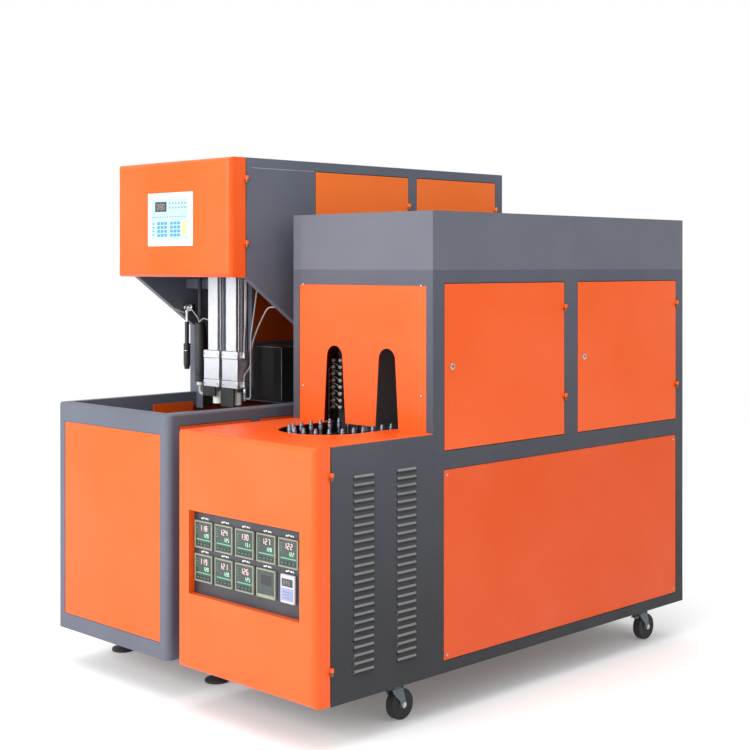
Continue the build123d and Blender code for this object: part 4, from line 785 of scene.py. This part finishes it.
def lamp_banks():
    """Quartz lamps, and end blocks with paired ceramic bosses, end plates and leads."""
    low, high = cad("lamp_tubes")
    holder_y = cad("lamp_holders")[0][1]
    depth = low[1] - holder_y
    radius = (high[2] - low[2] - (LAMP_ROWS - 1) * LAMP_PITCH) / 2
    rows = [low[2] + radius + LAMP_PITCH * row for row in range(LAMP_ROWS)]
    lamp = ((0, 0), (4.4, 0), (5.0, 8), (5.0, 962), (4.4, 970), (0, 970))
    boss = ((0, -1), (6.4, -1), (6.4, 3), (5.4, 5.5), (3.2, 5.5), (3.2, 8), (2.4, 9), (0, 9))
    tubes = Shape(QUARTZ)
    ends = Shape(DARK_PLATE, WHITE_CERAMIC, LEAD)
    for side in (-1, 1):
        x = CHAIN_X + side * LAMP_X
        for z in rows:
            tubes.at(x, low[1], z, turn_x=-90).lathe(lamp, 12)
            for y0, way in ((holder_y, -1), (high[1], 1)):
                ends.at().box(x - 22, x + 22, y0, y0 + depth, z - 8, z + 8, 1.2, DARK_PLATE)
                outer = y0 if way < 0 else y0 + depth
                for boss_x in (x - 17, x + 17):
                    ends.at(boss_x, outer, z, turn_x=-90 * way).lathe(boss, 16, WHITE_CERAMIC)
        for y0 in (holder_y, high[1]):
            plate_x = sorted((x + side * 22, x + side * 24))
            ends.at().box(*plate_x, y0, y0 + depth, 782, rows[-1] + 16, 0.3, DARK_PLATE)
        y = holder_y - 8
        for z, next_z in zip(rows, rows[1:]):
            to_next_lamp = [
                (x + 17, y, z + 2), (x + 8, y - 7, z + 15), (x - 8, y - 5, z + 10), (x - 17, y, next_z - 3)
            ]
            to_loom = [(x - 17, y, z), (x - 30, y - 4, z - 6), (x - 40, y + 6, z - 26), (x - 44, y + 8, 905)]
            ends.at().tube(to_next_lamp, 1.2, LEAD, 6, 10)
            ends.tube(to_loom, 1.2, LEAD, 6, 14)
    tubes.finish("quartz_lamps", "machine", "lamp_quartz", "lamp_tubes")
    ends.finish("lamp_ends_and_leads", "machine", "lamp_ceramic", "lamp_holders")


def air_hoses():
    """Clear hoses of the right seal head, and the elbow hose of the left nozzle."""
    drop_x = SIDE_PORT_X + 14
    hang_x = SIDE_PORT_X + 4
    hang_y = BLOW_Y - 2
    bundle_x = SIDE_PORT_X + 5
    bundle_y = BLOW_Y + 20
    wall_x = BLOWER_RIGHT - HOUSING_SIDE
    wall_y = BLOW_Y - 24
    wall_z = HEAD_BOTTOM - 110
    to_high_port = [
        (hang_x, hang_y, HEAD_BOTTOM), (hang_x, hang_y, HEAD_BOTTOM - 140), (SIDE_PORT_X, SIDE_PORT_Y, 1192),
        (SIDE_PORT_X, SIDE_PORT_Y, 1140),
    ]
    to_nozzle = [
        (drop_x + 24, bundle_y + 6, HEAD_BOTTOM), (drop_x + 24, bundle_y + 6, HEAD_BOTTOM - 30),
        (drop_x, NOZZLE_PORT_Y, HEAD_BOTTOM - 230), (drop_x, NOZZLE_PORT_Y, NOZZLE_PORT_Z),
        (CAVITY_X[1] + 44, NOZZLE_PORT_Y, NOZZLE_PORT_Z),
    ]
    from_wall = [
        (wall_x, wall_y, wall_z), (wall_x - 50, wall_y, wall_z),
        (SIDE_PORT_X + 78, BLOW_Y - 4, wall_z - 72), (bundle_x + 6, bundle_y, wall_z - 144),
        (bundle_x, bundle_y, 1085), (SIDE_PORT_X, SIDE_PORT_Y, 1055), (SIDE_PORT_X, SIDE_PORT_Y, 1030),
    ]
    elbow = [
        (PIPE_X, PIPE_Y, 998), (PIPE_X, PIPE_Y, NOZZLE_PORT_Z), (CAVITY_X[0] - 42, PIPE_Y, NOZZLE_PORT_Z)
    ]
    shape = Shape(CLEAR, ELBOW)
    shape.tube(to_high_port, 3.0, CLEAR, 12, 60, 8)
    shape.tube(to_nozzle, 3.0, CLEAR, 12, 18, 8)
    shape.tube(from_wall, 3.0, CLEAR, 12, 46, 8)
    shape.tube(elbow, 6.0, ELBOW, 12, 30, 8)
    shape.finish("clear_air_hoses", "machine", "clear_hose", "air_lines")


def line_fittings():
    """Push-in fittings with hexagon bodies and release rings, and the valve with its stub."""
    shape = Shape(CHROME, BLUE_RING, WHITE)

    def push_in(z0, z1):
        """A fitting on the right seal head's side."""
        shape.at(SIDE_PORT_X, SIDE_PORT_Y, 0).prism(hexagon(8.6, 30), z0, z0 + (z1 - z0) * 0.45, CHROME, 0.8)
        shape.lathe(((0, z0), (7.4, z0), (7.4, z1 - 2.5), (6.6, z1 - 1.5), (0, z1 - 1.5)), 18, CHROME)
        shape.lathe(((0, z1 - 1.6), (5.6, z1 - 1.6), (5.9, z1 - 0.6), (5.0, z1), (0, z1)), 18, BLUE_RING)

    push_in(1118, 1142)
    push_in(1008, 1032)
    elbow_body = (
        (0, 955), (6.4, 955), (7.4, 956), (7.4, 984), (8.6, 985), (8.6, 1000), (7.8, SEAL_HEAD_BOTTOM),
        (0, SEAL_HEAD_BOTTOM),
    )
    collar = ((0, 0), (6.8, 0), (6.8, 6), (6.2, 8), (0, 8))
    for x, y, way in ((CAVITY_X[0] - 36, PIPE_Y, -1), (CAVITY_X[1] + 36, NOZZLE_PORT_Y, 1)):
        shape.at(x, y, 0).lathe(elbow_body, 18, CHROME)
        shape.at(x, y, NOZZLE_PORT_Z, turn_y=90 * way).lathe(collar, 16, BLUE_RING)
    pipe_foot = ((0, 996), (9, 996), (12.4, 999), (12.4, PIPE_BOTTOM), (0, PIPE_BOTTOM))
    shape.at(PIPE_X, PIPE_Y, 0).lathe(pipe_foot, 20, WHITE)
    wall = BLOWER_LEFT + HOUSING_SIDE
    shape.at().box(wall, wall + 64, SILENCER_Y - 10, SILENCER_Y + 10, 1287, 1313, 2.0, CHROME)
    for knob_x, flare in ((wall + 14, 7.0), (wall + 34, 8.0), (wall + 53, 6.0)):
        knob = ((0, 0), (flare, 0), (flare, 2), (flare * 0.7, 3), (flare * 0.7, 5), (0, 5))
        shape.at(knob_x, SILENCER_Y - 9, 1300, turn_x=90).lathe(knob, 14, CHROME)
    stub = ((0, SILENCER_TOP), (5.0, SILENCER_TOP), (5.0, 1280), (6.4, 1282), (6.4, 1288), (0, 1288))
    shape.at(SILENCER_X, SILENCER_Y, 0).lathe(stub, 16, WHITE)
    shape.finish("push_in_fittings", "machine", "fitting_metal", "blow_valve")


def pipes():
    """Thick blow pipe with a groove near each end, and the silencer with a ribbed barrel."""
    pipe = (
        (0, PIPE_BOTTOM), (19, PIPE_BOTTOM), (21, 1014), (21, 1040), (20, 1041), (20, 1044), (21, 1045),
        (21, 1222), (20, 1223), (20, 1226), (21, 1227), (21, 1236), (17, 1242), (0, 1242),
    )
    silencer = [(0, 1055), (9.8, 1055), (14, 1077)]
    for step in range(9):
        z = 1080 + step * 8
        silencer += [(14, z), (13.2, z + 1.5), (13.2, z + 4), (14, z + 5.5)]
    silencer += [(14, 1154), (12, 1157), (8.5, 1157), (8.5, SILENCER_TOP), (0, SILENCER_TOP)]
    shape = Shape(BLACK, CHROME, RUBBER)
    shape.at(PIPE_X, PIPE_Y, 0).lathe(pipe, 28, BLACK)
    shape.lathe(((0, 1242), (8, 1242), (8, HEAD_BOTTOM), (0, HEAD_BOTTOM)), 16, RUBBER)
    shape.at(SILENCER_X, SILENCER_Y, 0).lathe(silencer, 22, BLACK)
    shape.lathe(((13.4, 1126), (14.0, 1126.4), (14.0, 1129.6), (13.4, 1130)), 22, CHROME)
    shape.finish("blow_pipe_and_ribbed_silencer", "machine", "black_parts", "blow_pipe_and_silencer")


def casters():
    """Swivel casters: pressed fork, ball race, axle with nuts, tyre on a plastic hub; brakes at the rear."""
    xs = {"left": HEATER_LEFT + 82, "right": HEATER_RIGHT - 82}
    ys = {"front": FRONT + 418, "rear": FRONT + 1800}
    for name_x, x in xs.items():
        for name_y, y in ys.items():
            caster_wheel(name_y + "_" + name_x, x, y)
            caster_fork(name_y + "_" + name_x, x, y, name_y == "rear")


def caster_wheel(name, x, y):
    """Tyre with rounded shoulders, and a hub with a recessed web."""
    tyre = (
        (37, -13), (44, -15.6), (47.5, -15.6), (49.4, -13), (50, -8), (50, 8), (49.4, 13), (47.5, 15.6),
        (44, 15.6), (37, 13),
    )
    hub = (
        (6.2, -15.0), (12, -15.0), (13, -12), (15, -9), (34, -8), (36.8, -13), (37.6, -13), (37.6, 13),
        (36.8, 13), (34, 8), (15, 9), (13, 12), (12, 15.0), (6.2, 15.0),
    )
    wheel = Shape(RUBBER, HUB_GREY)
    wheel.at(x, y + CASTER_TRAIL, WHEEL_RADIUS, turn_y=90).lathe(tyre, 40, RUBBER)
    wheel.lathe(hub, 40, HUB_GREY)
    wheel.finish("caster_tyre_" + name, "wheel_" + name, "wheel_tyre", "caster_wheel_" + name)


def caster_fork(name, x, y, has_brake):
    """Two legs under a bridge, the ball race with its top plate, the axle, and a brake pedal."""
    top = cad("caster_fork_" + name)[1][2] - 0.2
    leg = (
        (-24, 110), (24, 110), (26, 96), (38, 56), (38, 44), (32, 38), (24, 38), (18, 44), (10, 66),
        (-20, 96),
    )
    race = ((0, 110), (24, 110), (26, 112), (26, 117), (24.5, 119), (24.5, 122), (22, 124), (0, 124))
    axle = (
        (0, -26), (4.5, -26), (4.5, -24), (9, -24), (9, -22), (6, -22), (6, 22), (9, 22), (9, 24), (4.5, 24),
        (4.5, 26), (0, 26),
    )
    leg_axes = Matrix(((0, 0, 1, 0), (1, 0, 0, 0), (0, 1, 0, 0), (0, 0, 0, 1)))
    fork = Shape(FORK, CHROME, BRAKE_GREY)
    fork.turn = Matrix.Translation((x, y, 0)) @ leg_axes
    for x0 in (-22.0, 18.2):
        fork.prism(leg, x0, x0 + 3.8, FORK, 0.6)
    fork.at(x, y, 0).box(-22, 22, -26, 28, 106, 111, 1.5, FORK)
    fork.lathe(race, 28, FORK)
    fork.lathe(((0, 124), (20, 124), (20, top), (0, top)), 24, CHROME)
    fork.at(x, y + CASTER_TRAIL, WHEEL_RADIUS, turn_y=90).lathe(axle, 12, CHROME)
    if has_brake:
        fork.at(x, y - 20, 97, turn_x=24).box(-15, 15, -17, 17, 0, 3, 1.2, BRAKE_GREY)
    fork.finish("caster_housing_" + name, "fork_" + name, "fork_paint", "caster_fork_" + name)


def levelling_feet():
    """Rubber pads on threaded studs with two lock nuts."""
    low, high = cad("levelling_feet")
    pad_radius = 42.0
    thread_top = 131.0
    pad = (
        (0, 0), (40, 0), (pad_radius, 2), (pad_radius, 9), (39, 12), (24, 16), (15, 22), (13, 26), (0, 26)
    )
    thread = [(0, 26)]
    for step in range(34):
        z = 28 + step * 3.0
        thread += [(7.9, z), (6.9, z + 1.5)]
    thread.append((0, thread_top))
    shape = Shape(RUBBER, CHROME)
    for x in (low[0] + pad_radius, high[0] - pad_radius):
        for y in (low[1] + pad_radius, high[1] - pad_radius):
            shape.at(x, y, 0).lathe(pad, 36, RUBBER)
            shape.lathe(thread, 14, CHROME)
            shape.prism(hexagon(13), 30, 41, CHROME, 0.8)
            shape.prism(hexagon(13), 118, 129, CHROME, 0.8)
            shape.lathe(((0, thread_top), (8, thread_top), (8, high[2]), (0, high[2])), 14, CHROME)
    shape.finish("threaded_levelling_feet", "machine", "foot_rubber", "levelling_feet")


def door_locks():
    """Quarter-turn locks: bright ring, brass insert with a key slot, and the cam inside."""
    for place, y in (("front", OVEN_FRONT + 94), ("rear", OVEN_FRONT + 813)):
        name = "door_lock_" + place
        low, high = cad(name)
        depth = low[0] - HEATER_RIGHT
        lock_z = high[2] - 11
        barrel = (
            (0, depth), (4, depth), (4, -7), (8.0, -7), (8.0, 0.1), (11.0, 0.2), (11.0, 2.4), (10.0, 3.6),
            (7.6, 4.0), (7.0, 2.8), (0, 2.8),
        )
        insert = ((0, 2.7), (6.6, 2.7), (6.6, 3.5), (6.2, 3.8), (0, 3.8))
        shape = Shape(CHROME, BRASS, BLACK)
        shape.at(HEATER_RIGHT, y, lock_z, turn_y=90).lathe(barrel, 28, CHROME)
        shape.lathe(insert, 22, BRASS)
        shape.at(HEATER_RIGHT, y, lock_z).box(3.5, 4.0, -2.6, 2.6, -2.6, 2.6, 0.1, BLACK)
        shape.at().box(
            low[0] + 0.2, low[0] + 3.2, low[1] + 3, high[1] - 3, low[2] + 1, high[2] - 1, 1.2, CHROME
        )
        shape.finish(name + "_barrel", "lock_" + place + "_cam", "hinge_steel", name)


def panel_screws():
    """Pan-head screws with a crossed slot at the corners of the bolted panels."""
    head = ((0, 0), (4.4, 0), (4.4, 1.0), (3.6, 1.9), (2.0, 2.4), (0, 2.4))
    shape = Shape(CHROME, BLACK)

    def screw(x, y, z, **turn):
        shape.at(x, y, z, **turn).lathe(head, 14, CHROME)
        shape.box(-2.4, 2.4, -0.5, 0.5, 2.0, 2.5, 0.1, BLACK)
        shape.box(-0.5, 0.5, -2.4, 2.4, 2.0, 2.5, 0.1, BLACK)

    for x in (97.5, 669.5):
        for z in (1040, 1400):
            screw(x, OVEN_FRONT, z, turn_x=90)
    low, high = cad("fixed_side_panels")
    for y in (low[1] + 16, high[1] - 16):
        for z in (low[2] + 16, 783):
            screw(high[0], y, z, turn_y=90)
    shape.finish("panel_screw_heads", "machine", "hinge_steel")


def sheet_seam():
    """Folded top edge of the head's side sheet: a pale strip painted as the fine highlight on the fold."""
    panel_front = cad("right_access_panels")[0][1]
    shape = Shape(SEAM_HIGHLIGHT)
    shape.box(BLOWER_RIGHT - 1, BLOWER_RIGHT + 0.4, FRONT + 400, panel_front - 8, 1813, 1815.4, 0.3)
    shape.finish("sheet_top_seam", "machine", "frame_grey")


def valve_cabinet():
    """Dark valve box with a cover on its front, and pale strips on the folded lid edge and the corner as
    painted highlights.
    """
    low, high = cad("valve_box")
    x0, y0, z0 = low
    x1, y1, z1 = high
    shape = Shape(BOX_DARK, EDGE_HIGHLIGHT)
    shape.box(x0, x1, y0, y1, z0, z1 - 3, 1.0, BOX_DARK)
    shape.box(x0, x1, y0, y1, z1 - 2.6, z1, 0.8, EDGE_HIGHLIGHT)
    shape.box(x1 - 2.2, x1 - 0.01, y0 - 0.6, y0 + 1.2, z0 + 4, z1 - 3, 0.4, EDGE_HIGHLIGHT)
    shape.box(x0 + 12, x1 - 12, y0 - 0.8, y0 + 1, z0 + 12, z1 - 16, 0.6, BOX_DARK)
    shape.finish("valve_cabinet", "machine", "black_parts", "valve_box")


def gusset_line():
    """Ribbed light hose down the left gusset to the valve, and a clear hose from there to the cylinder."""
    x = BLOWER_LEFT + HOUSING_SIDE + 6
    upper = Vector((x, -455, 1300))
    lower = Vector((x, -395, 1279))
    rib = ((0, -1.2), (3.0, -1.2), (3.4, 0), (3.0, 1.2), (0, 1.2))
    rib_count = 16
    shape = Shape(CLEAR, ELBOW, BLACK)
    for step in range(rib_count):
        place = upper.lerp(lower, (step + 0.5) / rib_count)
        shape.at(*place, turn_x=-109).lathe(rib, 10, ELBOW)
    shape.at().tube([upper, lower], 1.9, CLEAR, 8)
    valve_x = BLOWER_LEFT + HOUSING_SIDE + 60
    valve_y = SILENCER_Y - 10
    beside = CAVITY_X[0] - 37
    to_cylinder = [
        (valve_x, valve_y, 1296), (valve_x + 26, valve_y - 8, 1284), (valve_x + 62, valve_y - 14, 1262),
        (PIPE_X + 34, PIPE_Y - 30, 1244), (PIPE_X + 50, PIPE_Y - 26, 1262), (beside, BLOW_Y - 6, 1254),
        (beside, BLOW_Y - 6, 1152),
    ]
    fitting = ((0, 1143.5), (5, 1143.5), (5, 1158), (4, 1160), (0, 1160))
    shape.tube(to_cylinder, 2.6, CLEAR, 8, 26)
    shape.at(beside, BLOW_Y - 6, 0).lathe(fitting, 14, BLACK)
    shape.finish("gusset_hose", "machine", "clear_hose")


def louvre_lips():
    """Pressed lips over the louvres: a pale crest painted as the highlight on the upper slope, and a dark
    under-edge painted as the shade below it.
    """
    crest = ((-0.2, -0.8), (0.5, -0.6), (3.1, 6.2), (2.3, 6.6))
    under_edge = ((2.4, 6.7), (2.95, 6.4), (5.98, 13.6), (5.2, 13.9))
    shape = Shape(LIP_HIGHLIGHT, LIP_SHADE)
    for setback in LOUVRE_SETBACKS:
        for row in range(LOUVRE_ROWS):
            shape.at(HEATER_RIGHT, FRONT + setback + 2, LOUVRE_TOP - row * LOUVRE_PITCH, turn_x=-90)
            shape.prism(crest, 0, LOUVRE_LENGTH, LIP_HIGHLIGHT)
            shape.prism(under_edge, 0, LOUVRE_LENGTH, LIP_SHADE)
    shape.finish("pressed_louvre_lips", "machine", "frame_grey")


controllers()
instrument_marks()
timer()
keypad()
spindles()
link_plates()
stretch_units()
lamp_banks()
air_hoses()
line_fittings()
pipes()
casters()
levelling_feet()
door_locks()
panel_screws()
valve_cabinet()
gusset_line()
sheet_seam()
louvre_lips()


# Camera, lights, background and floor


def photo_camera():
    """The camera that the photo's edges give."""
    data = bpy.data.cameras.new("photo_camera")
    data.sensor_width = 36.0
    data.lens = 67.29
    data.shift_x = 0.0024
    data.shift_y = -0.1463
    data.clip_end = 60.0
    camera = bpy.data.objects.new("photo_camera", data)
    bpy.context.collection.objects.link(camera)
    camera.location = (3.7878, -3.8111, 1.4671)
    camera.rotation_euler = (math.radians(90), 0, math.radians(45))
    bpy.context.scene.camera = camera


def area_light(name, place, aim, size, power):
    """A rectangular soft light at a place, turned to its aim."""
    data = bpy.data.lights.new(name, "AREA")
    data.shape = "RECTANGLE"
    data.size, data.size_y = size
    data.energy = power
    light = bpy.data.objects.new(name, data)
    bpy.context.collection.objects.link(light)
    light.location = place
    direction = Vector(aim) - Vector(place)
    light.rotation_euler = direction.to_track_quat("-Z", "Y").to_euler()


def studio_world():
    """White surroundings that are dimmer towards +X, so that the side walls are darker than the front."""
    world = bpy.data.worlds.new("studio")
    world.use_nodes = True
    tree = world.node_tree
    background = tree.nodes["Background"]
    background.inputs["Color"].default_value = (1.0, 1.0, 1.0, 1.0)
    split = tree.nodes.new("ShaderNodeSeparateXYZ")
    tree.links.new(tree.nodes.new("ShaderNodeTexCoord").outputs["Generated"], split.inputs["Vector"])
    fade = tree.nodes.new("ShaderNodeMapRange")
    fade.interpolation_type = "SMOOTHSTEP"
    for socket, value in (("From Min", 0.0), ("From Max", 0.8), ("To Min", 1.0), ("To Max", 0.62)):
        fade.inputs[socket].default_value = value
    tree.links.new(split.outputs["X"], fade.inputs["Value"])
    tree.links.new(fade.outputs["Result"], background.inputs["Strength"])
    bpy.context.scene.world = world


def pale_floor():
    """A wide matt floor that glows a little, so that it meets the white background without a line."""
    mesh = bpy.data.meshes.new("floor")
    mesh.from_pydata([(-9, -9, 0), (9, -9, 0), (9, 9, 0), (-9, 9, 0)], [], [(0, 1, 2, 3)])
    floor = bpy.data.objects.new("floor", mesh)
    bpy.context.collection.objects.link(floor)
    n = Nodes("pale_floor")
    n.shade(Base_Color=(0.94, 0.94, 0.94, 1), Roughness=0.9)
    n.shade(Emission_Color=(1.0, 1.0, 1.0, 1), Emission_Strength=0.12)
    mesh.materials.append(n.material)


photo_camera()
area_light("front_softbox", (0.5, -5.4, 2.5), (0, -0.4, 0.9), (3.2, 2.4), 160)
area_light("edge_strip", (-2.7, -4.7, 1.5), (-0.4, -0.9, 1.4), (0.25, 2.6), 40)
area_light("side_softbox", (5.2, 0.6, 3.8), (0.3, 0.2, 1.5), (3.0, 2.6), 31)
area_light("top_softbox", (0.4, -0.6, 4.6), (0, 0, 0.9), (4.0, 4.0), 95)
studio_world()
pale_floor()
bpy.context.scene.view_settings.view_transform = "Standard"
bpy.context.scene.view_settings.look = "None"
